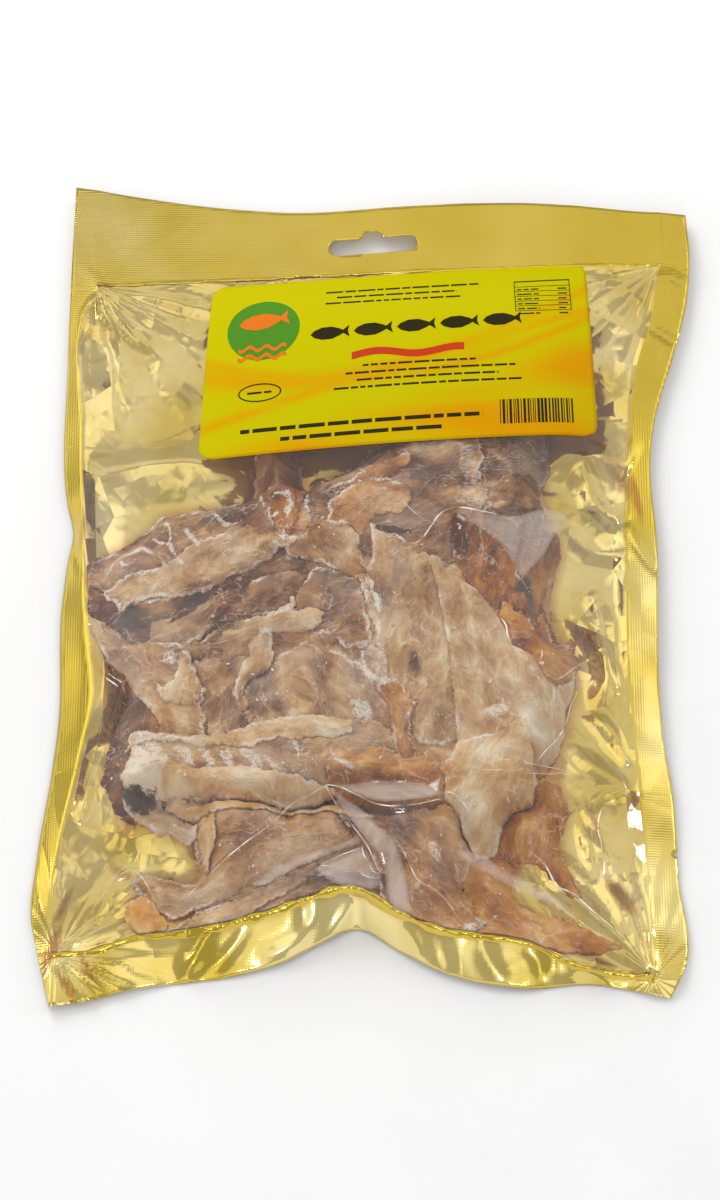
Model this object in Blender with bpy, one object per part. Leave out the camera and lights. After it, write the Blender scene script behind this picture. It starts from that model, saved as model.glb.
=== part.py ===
"""A heat-sealed pouch of dried stockfish fillets, lying on its gold foil back with the clear side up.

The frame is the pack's own: the origin is on the table under the middle of the pack, +X is to the
right of its front, +Y towards its hanging slot and +Z up. Lengths below are millimetres.
"""

import math

import bmesh
import bpy
import numpy as np

MM = 0.001

# Webs: the foil solid, and the air that parts the solids of one pack.
FOIL_THICK = 0.8
GAP = 0.5
RIM_THICK = 0.7
LABEL_THICK = 0.5

# Lattice cells: border, pocket, border, across the pack and along it.
CELLS_ACROSS = (2, 24, 2)
CELLS_ALONG = (3, 30, 4)

# Outer edge of the pouch, and the line where its seal meets the pocket.
# Left and right are x at y, bottom and top are y at x.
LEFT_EDGE = (
    (-152, -106.7), (-132, -111.2), (-123, -113.3), (-101, -112.3), (-69, -108.1), (-53, -106.6),
    (-9, -106.7), (6, -105.2), (17, -103.7), (30, -106.2), (82, -107.4), (152, -106.3),
)
LEFT_SEAL = (
    (-135, -106.4), (-110, -106.3), (-92, -103.5), (-68, -98.3), (-46, -94.8), (-23, -96.9),
    (5, -99.1), (54, -101.2), (101, -101.9), (112, -97.5),
)
RIGHT_EDGE = (
    (-149, 98.2), (-138, 103.5), (-107, 102.3), (-75, 101.0), (-59, 98.8), (-37, 97.8), (13, 98.7),
    (45, 97.3), (59, 99.1), (88, 107.5), (106, 112.0), (124, 113.7), (142, 112.9),
)
RIGHT_SEAL = (
    (-142, 92.6), (-114, 92.1), (-81, 89.8), (-44, 87.5), (11, 87.7), (48, 90.2), (81, 93.6),
    (98, 98.7), (121, 103.3),
)
BOTTOM_EDGE = (
    (-107, -151.6), (-95, -149.9), (-82, -146.2), (-42, -140.0), (-29, -136.3), (-16, -129.4),
    (-5, -124.9), (9, -132.5), (19, -138.0), (49, -145.2), (72, -143.6), (98, -148.4),
)
BOTTOM_SEAL = (
    (-106, -134.5), (-93, -132.8), (-80, -129.3), (-57, -127.6), (-40, -124.2), (-24, -119.0),
    (-7, -114.9), (9, -123.1), (22, -128.2), (52, -132.3), (65, -137.8), (93, -142.2),
)
TOP_SEAL = ((-98, 112.2), (-55, 113.8), (-8, 116.2), (46, 119.0), (79, 120.6), (104, 120.8))
TOP_EDGE = (
    (-107, 151.7), (-82, 148.1), (-53, 144.2), (-24, 142.6), (5, 144.2), (62, 145.4), (113, 141.4),
)

# Height of the foil at the seal's inner line and at its free edge, along each side.
SEAM_HEIGHT = {
    "left": ((-140, 3.0), (-110, 5.0), (-60, 9.0), (0, 9.0), (60, 7.0), (112, 4.0)),
    "right": ((-142, 2.0), (-90, 4.5), (-20, 6.0), (60, 5.0), (121, 3.5)),
    "bottom": ((-106, 2.0), (-60, 8.5), (-22, 13.5), (-6, 16.0), (12, 13.5), (50, 9.0), (93, 2.0)),
    "top": ((-98, 4.0), (0, 5.5), (104, 3.5)),
}
EDGE_HEIGHT = {
    "left": ((-152, 0.6), (0, 2.0), (152, 4.0)),
    "right": ((-149, 0.6), (0, 4.0), (142, 3.0)),
    "bottom": ((-107, 0.5), (0, 1.0), (98, 0.5)),
    "top": ((-107, 4.5), (-24, 3.0), (40, 5.0), (113, 2.5)),
}
FOIL_LIFT_WIDTH = 26.0

# The filled pocket: height of its crown along the pack, and how much of it is left across the pack.
CROWN_ALONG = (
    (-142, 8), (-120, 15), (-95, 19.5), (-60, 22), (-20, 22), (20, 20.5), (42, 18.5), (70, 17),
    (95, 13.5), (112, 8.5), (121, 6),
)
CROWN_ACROSS = ((-107, 0.55), (-92, 0.86), (-65, 1.0), (45, 1.0), (68, 0.84), (82, 0.62), (104, 0.5))
POCKET_RISE = 6.5

# Fillets that press up into the film: middle, length, width, turn in degrees, lift, and whether
# the piece is rolled up (round across) or a flat flap (steep at its edge, level on top).
FILLETS = (
    ("upper_left_flap", (-69, 10), 70, 27, 17, 4.0, False),
    ("pale_fold", (-61, -3), 66, 15, 19, 2.6, True),
    ("upper_strip", (-30, 24), 36, 18, -78, 3.2, False),
    ("upper_sheet", (14, 30), 56, 28, -8, 3.0, False),
    ("tan_knot", (-3, 20), 29, 18, 15, 5.4, True),
    ("speckled_skin", (54, 32), 36, 32, 49, 2.0, False),
    ("ridged_sheet", (12, -20), 80, 26, -78, 3.2, False),
    ("wide_sheet", (45, -38), 84, 48, -61, 4.2, False),
    ("curled_flap", (57, -30), 34, 22, -39, 6.0, True),
    ("grey_skin_strip", (-49, -19), 63, 24, 29, 2.2, False),
    ("left_flap", (-75, -37), 62, 24, -45, 3.6, False),
    ("middle_sheet", (-14, -44), 48, 36, 11, 3.0, False),
    ("long_roll", (-40, -71), 96, 25, 1, 7.0, True),
    ("small_skin", (-70, -88), 30, 13, -30, 2.4, True),
    ("lower_sheet", (-36, -98), 70, 30, -10, 3.2, False),
    ("corner_scrap", (-66, -114), 32, 19, -4, 2.6, False),
    ("knotted_strip", (5, -68), 40, 15, 7, 4.6, True),
    ("right_flap", (38, -77), 48, 36, 62, 4.6, False),
    ("bottom_sheet", (20, -108), 56, 42, -57, 3.6, False),
)

# Front label: its corners on the film, and the radius they are cut to.
LABEL_CORNERS = ((-65.0, 36.5), (81.0, 46.5), (78.5, 116.0), (-56.5, 107.0))
LABEL_CELLS = (20, 10)
LABEL_CORNER_RADIUS = 3.0

# Hanging slot in the header: a round-ended slot with a half-round bump on its upper side.
SLOT_MIDDLE = (0.6, 128.6)
SLOT_LENGTH = 31.75
SLOT_WIDTH = 6.4
SLOT_BUMP_RADIUS = 4.4
SLOT_BUMP_OFFSET = 1.6
SLOT_TURN = math.radians(4.0)

# Tear notch in the right seal.
NOTCH_AT = (102.6, -99.0)
NOTCH_SIZE = 2.2

CUT_HEIGHT = 40.0


def curve_through(stations, at):
    """A smooth curve through (position, value) stations, read at the positions given."""
    place, value = np.array(stations, float).T
    slope = np.gradient(value, place)
    at = np.clip(at, place[0], place[-1])
    i = np.clip(np.searchsorted(place, at) - 1, 0, len(place) - 2)
    step = place[i + 1] - place[i]
    t = (at - place[i]) / step
    return (
        (2 * t**3 - 3 * t**2 + 1) * value[i]
        + (t**3 - 2 * t**2 + t) * step * slope[i]
        + (3 * t**2 - 2 * t**3) * value[i + 1]
        + (t**3 - t**2) * step * slope[i + 1]
    )


def web_point(across, along):
    """Where a lattice point lies: 0 and 3 are the free edges, 1 and 2 the seals' inner lines."""
    x = np.interp(across, (0, 1, 2, 3), (-107, -98, 92, 104))
    for _ in range(4):
        lines = [curve_through(line, x) for line in (BOTTOM_EDGE, BOTTOM_SEAL, TOP_SEAL, TOP_EDGE)]
        y = between(lines, along)
        lines = [curve_through(line, y) for line in (LEFT_EDGE, LEFT_SEAL, RIGHT_SEAL, RIGHT_EDGE)]
        x = between(lines, across)
    return x, y


def between(lines, at):
    """Blend four lines at the positions 0 to 3."""
    i = np.clip(np.floor(at), 0, 2).astype(int)
    part = at - i
    low = np.choose(i, lines[:3])
    high = np.choose(i, lines[1:])
    return low + (high - low) * part


def seal_distances(x, y):
    """For each side: distance inside its seal line, width of its seal there, place along it."""
    left, right = curve_through(LEFT_SEAL, y), curve_through(RIGHT_SEAL, y)
    bottom, top = curve_through(BOTTOM_SEAL, x), curve_through(TOP_SEAL, x)
    return {
        "left": (x - left, left - curve_through(LEFT_EDGE, y), y),
        "right": (right - x, curve_through(RIGHT_EDGE, y) - right, y),
        "bottom": (y - bottom, bottom - curve_through(BOTTOM_EDGE, x), x),
        "top": (top - y, curve_through(TOP_EDGE, x) - top, x),
    }


def foil_top(x, y):
    """Upper face of the foil: flat on the table in the middle, lifted to the seams, down again."""
    total = 0
    for side, (inside, width, along) in seal_distances(x, y).items():
        seam = curve_through(SEAM_HEIGHT[side], along)
        edge = curve_through(EDGE_HEIGHT[side], along)
        lift = seam * np.clip(1 - inside / FOIL_LIFT_WIDTH, 0, 1) ** 2
        fall = seam + (edge - seam) * np.clip(-inside / width, 0, 1)
        total = total + np.where(inside > 0, lift, fall) ** 3
    return FOIL_THICK + np.cbrt(total)


def fillet_relief(x, y):
    """How far the fillets under the film lift it above the pocket's even crown."""
    relief = np.zeros_like(x)
    for _, middle, length, width, turn, lift, rolled in FILLETS:
        c, s = math.cos(math.radians(turn)), math.sin(math.radians(turn))
        dx, dy = x - middle[0], y - middle[1]
        lengthwise = np.abs(dx * c + dy * s) / (length / 2)
        crosswise = np.abs(dy * c - dx * s) / (width / 2)
        if rolled:
            form = np.clip(1 - lengthwise**4, 0, 1) * np.sqrt(np.clip(1 - crosswise**2, 0, 1))
        else:
            form = np.sqrt(np.clip(1 - lengthwise**3 - crosswise**3, 0, 1))
        relief = np.maximum(relief, lift * form)
    return relief


def film_top(x, y):
    """Upper face of the clear film over the contents."""
    inside = np.min([distance for distance, _, _ in seal_distances(x, y).values()], axis=0)
    rise = 1 - np.exp(-np.clip(inside, 0, None) / POCKET_RISE)
    crown = curve_through(CROWN_ALONG, y) * curve_through(CROWN_ACROSS, x)
    foil = foil_top(x, y)
    pillow = np.maximum(crown - foil, 0.5) + fillet_relief(x, y)
    return foil + GAP + RIM_THICK + pillow * rise


def lattice(cells_across, cells_along):
    """A flat grid whose vertices count cells, from (0, 0) at the bottom left."""
    bm = bmesh.new()
    bmesh.ops.create_grid(bm, x_segments=cells_across, y_segments=cells_along, size=0.5)
    for vertex in bm.verts:
        vertex.co.x = (vertex.co.x + 0.5) * cells_across
        vertex.co.y = (vertex.co.y + 0.5) * cells_along
    return bm


def thicken(bm):
    """Give the flat grid an upper face at z = 1 and walls, and return the upper face's edges."""
    made = bmesh.ops.extrude_face_region(bm, geom=bm.faces[:])["geom"]
    for vertex in made:
        if isinstance(vertex, bmesh.types.BMVert):
            vertex.co.z = 1
    bmesh.ops.recalc_face_normals(bm, faces=bm.faces)
    return [edge for edge in bm.edges if edge.verts[0].co.z + edge.verts[1].co.z == 2]


def lattice_places(bm):
    points = np.array([vertex.co for vertex in bm.verts])
    return points[:, 0], points[:, 1], points[:, 2] > 0.5


def add_object(name, bm, x, y, z, material, collection):
    """Move the mesh's vertices to the places given in millimetres, and add it to the scene."""
    for vertex, place in zip(bm.verts, np.stack([x, y, z], axis=1) * MM):
        vertex.co = place
    mesh = bpy.data.meshes.new(name)
    bm.to_mesh(mesh)
    bm.free()
    mesh.materials.append(material)
    made = bpy.data.objects.new(name, mesh)
    collection.objects.link(made)
    return made


def principled(name, colour, roughness, metallic):
    material = bpy.data.materials.new(name)
    material.use_nodes = True
    shader = material.node_tree.nodes["Principled BSDF"]
    shader.inputs["Base Color"].default_value = (*colour, 1.0)
    shader.inputs["Roughness"].default_value = roughness
    shader.inputs["Metallic"].default_value = metallic
    return material


def make_foil_back(collection):
    """The gold back web with the heat-sealed border all round it."""
    bm = lattice(sum(CELLS_ACROSS), sum(CELLS_ALONG))
    thicken(bm)
    column, row, upper = lattice_places(bm)
    marks_across = np.cumsum((0, *CELLS_ACROSS))
    marks_along = np.cumsum((0, *CELLS_ALONG))
    x, y = web_point(np.interp(column, marks_across, range(4)), np.interp(row, marks_along, range(4)))
    z = foil_top(x, y) - np.where(upper, 0, FOIL_THICK)
    gold = principled("gold_foil", (0.72, 0.52, 0.10), 0.22, 1.0)
    return add_object("foil_back", bm, x, y, z, gold, collection)


def make_bag_front(collection):
    """The filled pocket: clear film drawn tight over the fillets, closed below by the foil."""
    bm = lattice(CELLS_ACROSS[1], CELLS_ALONG[1])
    bmesh.ops.subdivide_edges(bm, edges=thicken(bm), cuts=1, use_grid_fill=True)
    column, row, upper = lattice_places(bm)
    x, y = web_point(1 + column / CELLS_ACROSS[1], 1 + row / CELLS_ALONG[1])
    z = np.where(upper, film_top(x, y), foil_top(x, y) + GAP)
    fish = principled("fillets_in_film", (0.42, 0.25, 0.15), 0.30, 0.0)
    return add_object("bag_front", bm, x, y, z, fish, collection)


def make_label(collection):
    """The printed sticker on the upper half of the film."""
    across, along = LABEL_CELLS
    bm = lattice(across, along)
    thicken(bm)
    column, row, upper = lattice_places(bm)
    s, t = column / across, row / along
    left_bottom, right_bottom, right_top, left_top = (np.array(c) for c in LABEL_CORNERS)
    low = left_bottom + np.outer(s, right_bottom - left_bottom)
    high = left_top + np.outer(s, right_top - left_top)
    place = low + (high - low) * t[:, None]
    at_corner = np.isin(s, (0, 1)) & np.isin(t, (0, 1))
    cut = LABEL_CORNER_RADIUS * (1 - math.sqrt(0.5))
    place[at_corner] += cut * np.stack([1 - 2 * s, 1 - 2 * t], axis=1)[at_corner]
    x, y = place.T
    z = film_top(x, y) + GAP + np.where(upper, LABEL_THICK, 0)
    yellow = principled("label_yellow", (0.70, 0.60, 0.01), 0.40, 0.0)
    return add_object("label", bm, x, y, z, yellow, collection)


def arc(middle, radius, start, end, steps):
    for angle in np.linspace(math.radians(start), math.radians(end), steps):
        yield middle[0] + radius * math.cos(angle), middle[1] + radius * math.sin(angle)


def slot_outline():
    """The hanging slot's outline, anticlockwise, about its own middle."""
    run, radius = (SLOT_LENGTH - SLOT_WIDTH) / 2, SLOT_WIDTH / 2
    lean = math.degrees(math.asin((radius - SLOT_BUMP_OFFSET) / SLOT_BUMP_RADIUS))
    yield from arc((run, 0), radius, -90, 90, 9)
    yield from arc((0, SLOT_BUMP_OFFSET), SLOT_BUMP_RADIUS, lean, 180 - lean, 9)
    yield from arc((-run, 0), radius, 90, 270, 9)


def cut_through(target, name, outline, cutters):
    """Cut the outline, a list of (x, y), through the target from above to below."""
    bm = bmesh.new()
    face = bm.faces.new([bm.verts.new((x * MM, y * MM, -CUT_HEIGHT * MM)) for x, y in outline])
    made = bmesh.ops.extrude_face_region(bm, geom=[face])["geom"]
    rising = [item for item in made if isinstance(item, bmesh.types.BMVert)]
    bmesh.ops.translate(bm, verts=rising, vec=(0, 0, 2 * CUT_HEIGHT * MM))
    bmesh.ops.recalc_face_normals(bm, faces=bm.faces)
    mesh = bpy.data.meshes.new(name)
    bm.to_mesh(mesh)
    bm.free()
    cutter = bpy.data.objects.new(name, mesh)
    cutter.display_type = "WIRE"
    cutter.hide_render = True
    cutters.objects.link(cutter)
    boolean = target.modifiers.new(name, "BOOLEAN")
    boolean.operation = "DIFFERENCE"
    boolean.object = cutter


def main():
    for old in list(bpy.data.objects):
        bpy.data.objects.remove(old, do_unlink=True)
    pack = bpy.data.collections.new("stockfish_pack")
    cutters = bpy.data.collections.new("cutters")
    bpy.context.scene.collection.children.link(pack)
    bpy.context.scene.collection.children.link(cutters)

    foil = make_foil_back(pack)
    make_bag_front(pack)
    make_label(pack)

    c, s = math.cos(SLOT_TURN), math.sin(SLOT_TURN)
    slot = [(SLOT_MIDDLE[0] + x * c - y * s, SLOT_MIDDLE[1] + x * s + y * c) for x, y in slot_outline()]
    cut_through(foil, "hang_slot", slot, cutters)
    x, y = NOTCH_AT
    notch = [(x - NOTCH_SIZE, y), (x + NOTCH_SIZE, y - NOTCH_SIZE), (x + NOTCH_SIZE, y + NOTCH_SIZE)]
    cut_through(foil, "tear_notch", notch, cutters)


main()
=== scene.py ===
import math

import bmesh
import bpy
import numpy as np
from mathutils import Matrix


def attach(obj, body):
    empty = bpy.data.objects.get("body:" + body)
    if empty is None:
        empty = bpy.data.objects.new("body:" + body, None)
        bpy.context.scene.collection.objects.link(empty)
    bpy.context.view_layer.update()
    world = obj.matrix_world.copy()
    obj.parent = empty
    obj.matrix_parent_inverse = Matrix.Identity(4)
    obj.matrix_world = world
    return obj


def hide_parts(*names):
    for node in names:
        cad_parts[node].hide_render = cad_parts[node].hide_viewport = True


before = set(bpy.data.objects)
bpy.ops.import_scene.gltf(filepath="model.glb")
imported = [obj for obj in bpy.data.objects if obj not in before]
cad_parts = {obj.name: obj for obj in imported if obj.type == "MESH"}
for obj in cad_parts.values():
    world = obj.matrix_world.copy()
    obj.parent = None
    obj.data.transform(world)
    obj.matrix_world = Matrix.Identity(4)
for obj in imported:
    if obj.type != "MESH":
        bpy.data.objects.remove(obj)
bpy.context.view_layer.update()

# ---------------------------------------------------------------------------------------------
# Camera, table and light. The pack lies on a pale table and is seen from above its lower edge.
# Wide soft panels light it all round, and three small lamps draw the glints along its creases.

MM = 0.001
VIEW_ELEVATION = math.radians(68)
VIEW_DISTANCE = 1.2
VIEW_TARGET = (-0.0041, -0.0104, 0.010)
LENS_MM = 105.3
SENSOR_MM = 36.0
TABLE_REACH = 4.0
TABLE_GAP = 0.0002  # keeps the table clear of the pack's lowest points


def linear(colour):
    """An sRGB hex colour as linear red, green, blue and an alpha of 1."""
    channels = [int(colour[i:i + 2], 16) / 255 for i in (1, 3, 5)]
    return (*[c / 12.92 if c <= 0.04045 else ((c + 0.055) / 1.055) ** 2.4 for c in channels], 1.0)


def add(tree, kind, values=None, **settings):
    """Add a shader node. Settings are its properties; values fill its inputs, or link them."""
    made = tree.nodes.new(kind)
    for name, value in settings.items():
        setattr(made, name, value)
    for name, value in (values or {}).items():
        if isinstance(value, bpy.types.NodeSocket):
            tree.links.new(value, made.inputs[name])
        else:
            made.inputs[name].default_value = value
    return made


def blank_material(name):
    """A node material with nothing in it yet, and its tree."""
    material = bpy.data.materials.new(name)
    material.use_nodes = True
    material.node_tree.nodes.clear()
    return material, material.node_tree


def blend(tree, share, first, second, **settings):
    """The mix of two colours, by the share of the second."""
    return add(tree, "ShaderNodeMix", {0: share, 6: first, 7: second}, data_type="RGBA",
               **settings).outputs[2]


def finish_mesh(name, bm, *materials):
    """Turn a mesh under construction into a finished one."""
    mesh = bpy.data.meshes.new(name)
    bm.to_mesh(mesh)
    bm.free()
    for material in materials:
        mesh.materials.append(material)
    return mesh


camera_data = bpy.data.cameras.new("camera")
camera_data.sensor_fit = "VERTICAL"
camera_data.sensor_height = SENSOR_MM
camera_data.lens = LENS_MM
camera = bpy.data.objects.new("camera", camera_data)
camera.location = (
    VIEW_TARGET[0],
    VIEW_TARGET[1] - VIEW_DISTANCE * math.cos(VIEW_ELEVATION),
    VIEW_TARGET[2] + VIEW_DISTANCE * math.sin(VIEW_ELEVATION),
)
camera.rotation_euler = (math.pi / 2 - VIEW_ELEVATION, 0, 0)
bpy.context.scene.collection.objects.link(camera)
bpy.context.scene.camera = camera
bpy.context.scene.view_settings.view_transform = "Standard"

world = bpy.data.worlds.new("studio")
world.use_nodes = True
bpy.context.scene.world = world
sky = world.node_tree
way = add(sky, "ShaderNodeTexCoord").outputs["Generated"]
height = add(sky, "ShaderNodeSeparateXYZ", {0: way}).outputs["Z"]
brightness = add(sky, "ShaderNodeMapRange", {0: height, 1: 0.0, 2: 0.9, 3: 0.46, 4: 0.50}).outputs[0]


def glow(toward, inner, outer, strength):
    """Brighten a round part of the studio, given by half angles in degrees, with a soft rim."""
    global brightness
    toward = np.array(toward) / math.hypot(*toward)
    lined = add(sky, "ShaderNodeVectorMath", {0: way, 1: tuple(toward)}, operation="DOT_PRODUCT")
    part = add(sky, "ShaderNodeMapRange", {
        0: lined.outputs["Value"],
        1: math.cos(math.radians(outer)),
        2: math.cos(math.radians(inner)),
        4: strength,
    }, interpolation_type="SMOOTHSTEP")
    brightness = add(sky, "ShaderNodeMath", {0: brightness, 1: part.outputs[0]}).outputs[0]


for toward, inner, outer, strength in (
    ((-0.05, 0.46, 0.89), 14, 28, 0.36),
    ((-0.62, 0.38, 0.70), 9, 20, 0.90),
    ((0.60, 0.38, 0.70), 9, 20, 0.90),
    ((0.05, -0.40, 0.90), 10, 20, 0.75),
    ((0.00, -0.80, 0.55), 8, 24, 0.60),
    ((-0.85, 0.30, 0.42), 8, 20, 0.70),
    ((0.85, 0.30, 0.42), 8, 20, 0.45),
    ((-0.28, 0.05, 0.96), 4, 10, 0.45),
    ((0.32, 0.16, 0.93), 4, 10, 0.45),
):
    glow(toward, inner, outer, strength)
sky.links.new(brightness, sky.nodes["Background"].inputs["Strength"])
sky.nodes["Background"].inputs["Color"].default_value = linear("#FFFFFF")


def soft_lamp(name, side, watts, place, mirrored=True):
    """A square area lamp at a place in metres, turned to the pack. It may be kept out of mirrors."""
    data = bpy.data.lights.new(name, "AREA")
    data.shape = "SQUARE"
    data.size = side
    data.energy = watts
    lamp = bpy.data.objects.new(name, data)
    lamp.location = place
    flat = math.hypot(place[0], place[1])
    lamp.rotation_euler = (math.atan2(flat, place[2]), 0, math.atan2(place[0], -place[1]))
    lamp.visible_glossy = mirrored
    bpy.context.scene.collection.objects.link(lamp)


soft_lamp("key", 0.8, 9.0, (-0.60, 1.00, 0.75), mirrored=False)
for name, place in (
    ("glint_left", (-0.98, 0.05, 0.36)),
    ("glint_right", (0.98, 0.10, 0.40)),
    ("glint_front", (0.10, -0.95, 0.45)),
):
    soft_lamp(name, 0.10, 0.6, place)

table_material, tree = blank_material("pale_table_laminate")
fleck = add(tree, "ShaderNodeTexNoise", {"Scale": 180.0, "Detail": 2.0})
tint = blend(tree, fleck.outputs[0], linear("#F7F7F7"), linear("#FBFBFB"))
shader = add(tree, "ShaderNodeBsdfPrincipled", {"Base Color": tint, "Roughness": 0.6})
add(tree, "ShaderNodeOutputMaterial", {0: shader.outputs[0]})
bm = bmesh.new()
bmesh.ops.create_grid(bm, x_segments=1, y_segments=1, size=TABLE_REACH)
table = bpy.data.objects.new("table", finish_mesh("table", bm, table_material))
table.location.z = -TABLE_GAP
bpy.context.scene.collection.objects.link(table)

# ---------------------------------------------------------------------------------------------
# Foil back. The back web is polyester film metallised gold, and it carries the whole border,
# where the clear front is heat sealed to it under knurled bars. A punched slot hangs the pack, and
# a nick in the right seal starts the tear.

FOIL_THICK = 0.25
FOIL_SINK = 0.5  # how far the web lies below the upper face of the solid it replaces

# Outer edge of the pouch, and the inner line of its seals: x at y, then y at x, in millimetres.
LEFT_EDGE = (
    (-152, -106.7), (-132, -111.2), (-123, -113.3), (-101, -112.3), (-69, -108.1), (-53, -106.6),
    (-9, -106.7), (6, -105.2), (17, -103.7), (30, -106.2), (82, -107.4), (152, -106.3),
)
LEFT_SEAL = (
    (-135, -106.4), (-110, -106.3), (-92, -103.5), (-68, -98.3), (-46, -94.8), (-23, -96.9),
    (5, -99.1), (54, -101.2), (101, -101.9), (112, -97.5),
)
RIGHT_EDGE = (
    (-149, 98.2), (-138, 103.5), (-107, 102.3), (-75, 101.0), (-59, 98.8), (-37, 97.8), (13, 98.7),
    (45, 97.3), (59, 99.1), (88, 107.5), (106, 112.0), (124, 113.7), (142, 112.9),
)
RIGHT_SEAL = (
    (-142, 92.6), (-114, 92.1), (-81, 89.8), (-44, 87.5), (11, 87.7), (48, 90.2), (81, 93.6),
    (98, 98.7), (121, 103.3),
)
BOTTOM_EDGE = (
    (-107, -151.6), (-95, -149.9), (-82, -146.2), (-42, -140.0), (-29, -136.3), (-16, -129.4),
    (-5, -124.9), (9, -132.5), (19, -138.0), (49, -145.2), (72, -143.6), (98, -148.4),
)
BOTTOM_SEAL = (
    (-106, -134.5), (-93, -132.8), (-80, -129.3), (-57, -127.6), (-40, -124.2), (-24, -119.0),
    (-7, -114.9), (9, -123.1), (22, -128.2), (52, -132.3), (65, -137.8), (93, -142.2),
)
TOP_SEAL = ((-98, 112.2), (-55, 113.8), (-8, 116.2), (46, 119.0), (79, 120.6), (104, 120.8))
TOP_EDGE = (
    (-107, 151.7), (-82, 148.1), (-53, 144.2), (-24, 142.6), (5, 144.2), (62, 145.4), (113, 141.4),
)
SEAM_HEIGHT = {
    "left": ((-140, 3.0), (-110, 5.0), (-60, 9.0), (0, 9.0), (60, 7.0), (112, 4.0)),
    "right": ((-142, 2.0), (-90, 4.5), (-20, 6.0), (60, 5.0), (121, 3.5)),
    "bottom": ((-106, 2.0), (-60, 8.5), (-22, 13.5), (-6, 16.0), (12, 13.5), (50, 9.0), (93, 2.0)),
    "top": ((-98, 4.0), (0, 5.5), (104, 3.5)),
}
EDGE_HEIGHT = {
    "left": ((-152, 0.6), (0, 2.0), (152, 4.0)),
    "right": ((-149, 0.6), (0, 4.0), (142, 3.0)),
    "bottom": ((-107, 0.5), (0, 1.0), (98, 0.5)),
    "top": ((-107, 4.5), (-24, 3.0), (40, 5.0), (113, 2.5)),
}
FOIL_SOLID_THICK = 0.8
FOIL_LIFT_WIDTH = 26.0
SLOT_MIDDLE = (0.6, 128.6)
SLOT_LENGTH = 31.75
SLOT_WIDTH = 6.4
SLOT_BUMP_RADIUS = 4.4
SLOT_BUMP_OFFSET = 1.6
SLOT_TURN = math.radians(4.0)
NOTCH_AT = (102.6, -99.0)
NOTCH_SIZE = 2.2
DIE_LOW = -20.0
DIE_TALL = 60.0
# Corners of the seals, with the way into the pocket, and how far their pleats reach.
POCKET_CORNERS = ((-104.5, -134, 1, 1), (92.5, -142, -1, 1), (-98, 112, 1, -1), (103.5, 121, -1, -1))
FAN_REACH = 64.0
FAN_OUTSIDE = (0.7, 0.4, 0.15, 0.15)  # how strong they stay in the border, corner by corner
FAR = 1e9
KNURL_PITCH = 1.25  # the real knurl is about 1.0, drawn this coarse so that it shows
WEB_FIRST_X = (-107, -98, 92, 104)  # where web_point begins to look for the lines 0 to 3
WEB_CELLS_ACROSS = (6, 130, 9)
WEB_CELLS_ALONG = (12, 170, 22)


def curve_through(stations, at):
    """A smooth curve through (position, value) stations, read at the positions given."""
    place, value = np.array(stations, float).T
    slope = np.gradient(value, place)
    at = np.clip(at, place[0], place[-1])
    i = np.clip(np.searchsorted(place, at) - 1, 0, len(place) - 2)
    step = place[i + 1] - place[i]
    t = (at - place[i]) / step
    return (
        (2 * t**3 - 3 * t**2 + 1) * value[i]
        + (t**3 - 2 * t**2 + t) * step * slope[i]
        + (3 * t**2 - 2 * t**3) * value[i + 1]
        + (t**3 - t**2) * step * slope[i + 1]
    )


def between(lines, at):
    """Blend four lines at the positions 0 to 3."""
    i = np.clip(np.floor(at), 0, 2).astype(int)
    low = np.choose(i, lines[:3])
    high = np.choose(i, lines[1:])
    return low + (high - low) * (at - i)


def web_point(across, along):
    """Where a point of the web lies: 0 and 3 are the free edges, 1 and 2 the seals' inner lines."""
    x = np.interp(across, (0, 1, 2, 3), WEB_FIRST_X)
    for _ in range(4):
        lines = [curve_through(line, x) for line in (BOTTOM_EDGE, BOTTOM_SEAL, TOP_SEAL, TOP_EDGE)]
        y = between(lines, along)
        lines = [curve_through(line, y) for line in (LEFT_EDGE, LEFT_SEAL, RIGHT_SEAL, RIGHT_EDGE)]
        x = between(lines, across)
    return x, y


def seal_distances(x, y):
    """For each side: distance inside its seal line, width of its seal there, place along it."""
    left, right = curve_through(LEFT_SEAL, y), curve_through(RIGHT_SEAL, y)
    bottom, top = curve_through(BOTTOM_SEAL, x), curve_through(TOP_SEAL, x)
    return {
        "left": (x - left, left - curve_through(LEFT_EDGE, y), y),
        "right": (right - x, curve_through(RIGHT_EDGE, y) - right, y),
        "bottom": (y - bottom, bottom - curve_through(BOTTOM_EDGE, x), x),
        "top": (top - y, curve_through(TOP_EDGE, x) - top, x),
    }


def pocket_depth(x, y):
    """Distance inside the nearest seal line, negative in the border."""
    return np.min([inside for inside, _, _ in seal_distances(x, y).values()], axis=0)


def foil_top(x, y):
    """The web's own height: flat in the middle, lifted to the seams, down again to its edges."""
    total = 0
    for side, (inside, width, along) in seal_distances(x, y).items():
        seam = curve_through(SEAM_HEIGHT[side], along)
        edge = curve_through(EDGE_HEIGHT[side], along)
        lift = seam * np.clip(1 - inside / FOIL_LIFT_WIDTH, 0, 1) ** 2
        fall = seam + (edge - seam) * np.clip(-inside / width, 0, 1)
        total = total + np.where(inside > 0, lift, fall) ** 3
    return FOIL_SOLID_THICK - FOIL_SINK + np.cbrt(total)


def grain(x, y, seed):
    """A smooth random field between -1 and 1, about one bump to the unit."""
    cells = np.random.default_rng(seed).uniform(-1, 1, (64, 64))
    i, j = np.floor(x).astype(int), np.floor(y).astype(int)
    u, v = x - i, y - j
    u, v = u * u * (3 - 2 * u), v * v * (3 - 2 * v)
    low = cells[i % 64, j % 64] * (1 - u) + cells[(i + 1) % 64, j % 64] * u
    high = cells[i % 64, (j + 1) % 64] * (1 - u) + cells[(i + 1) % 64, (j + 1) % 64] * u
    return low * (1 - v) + high * v


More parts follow.
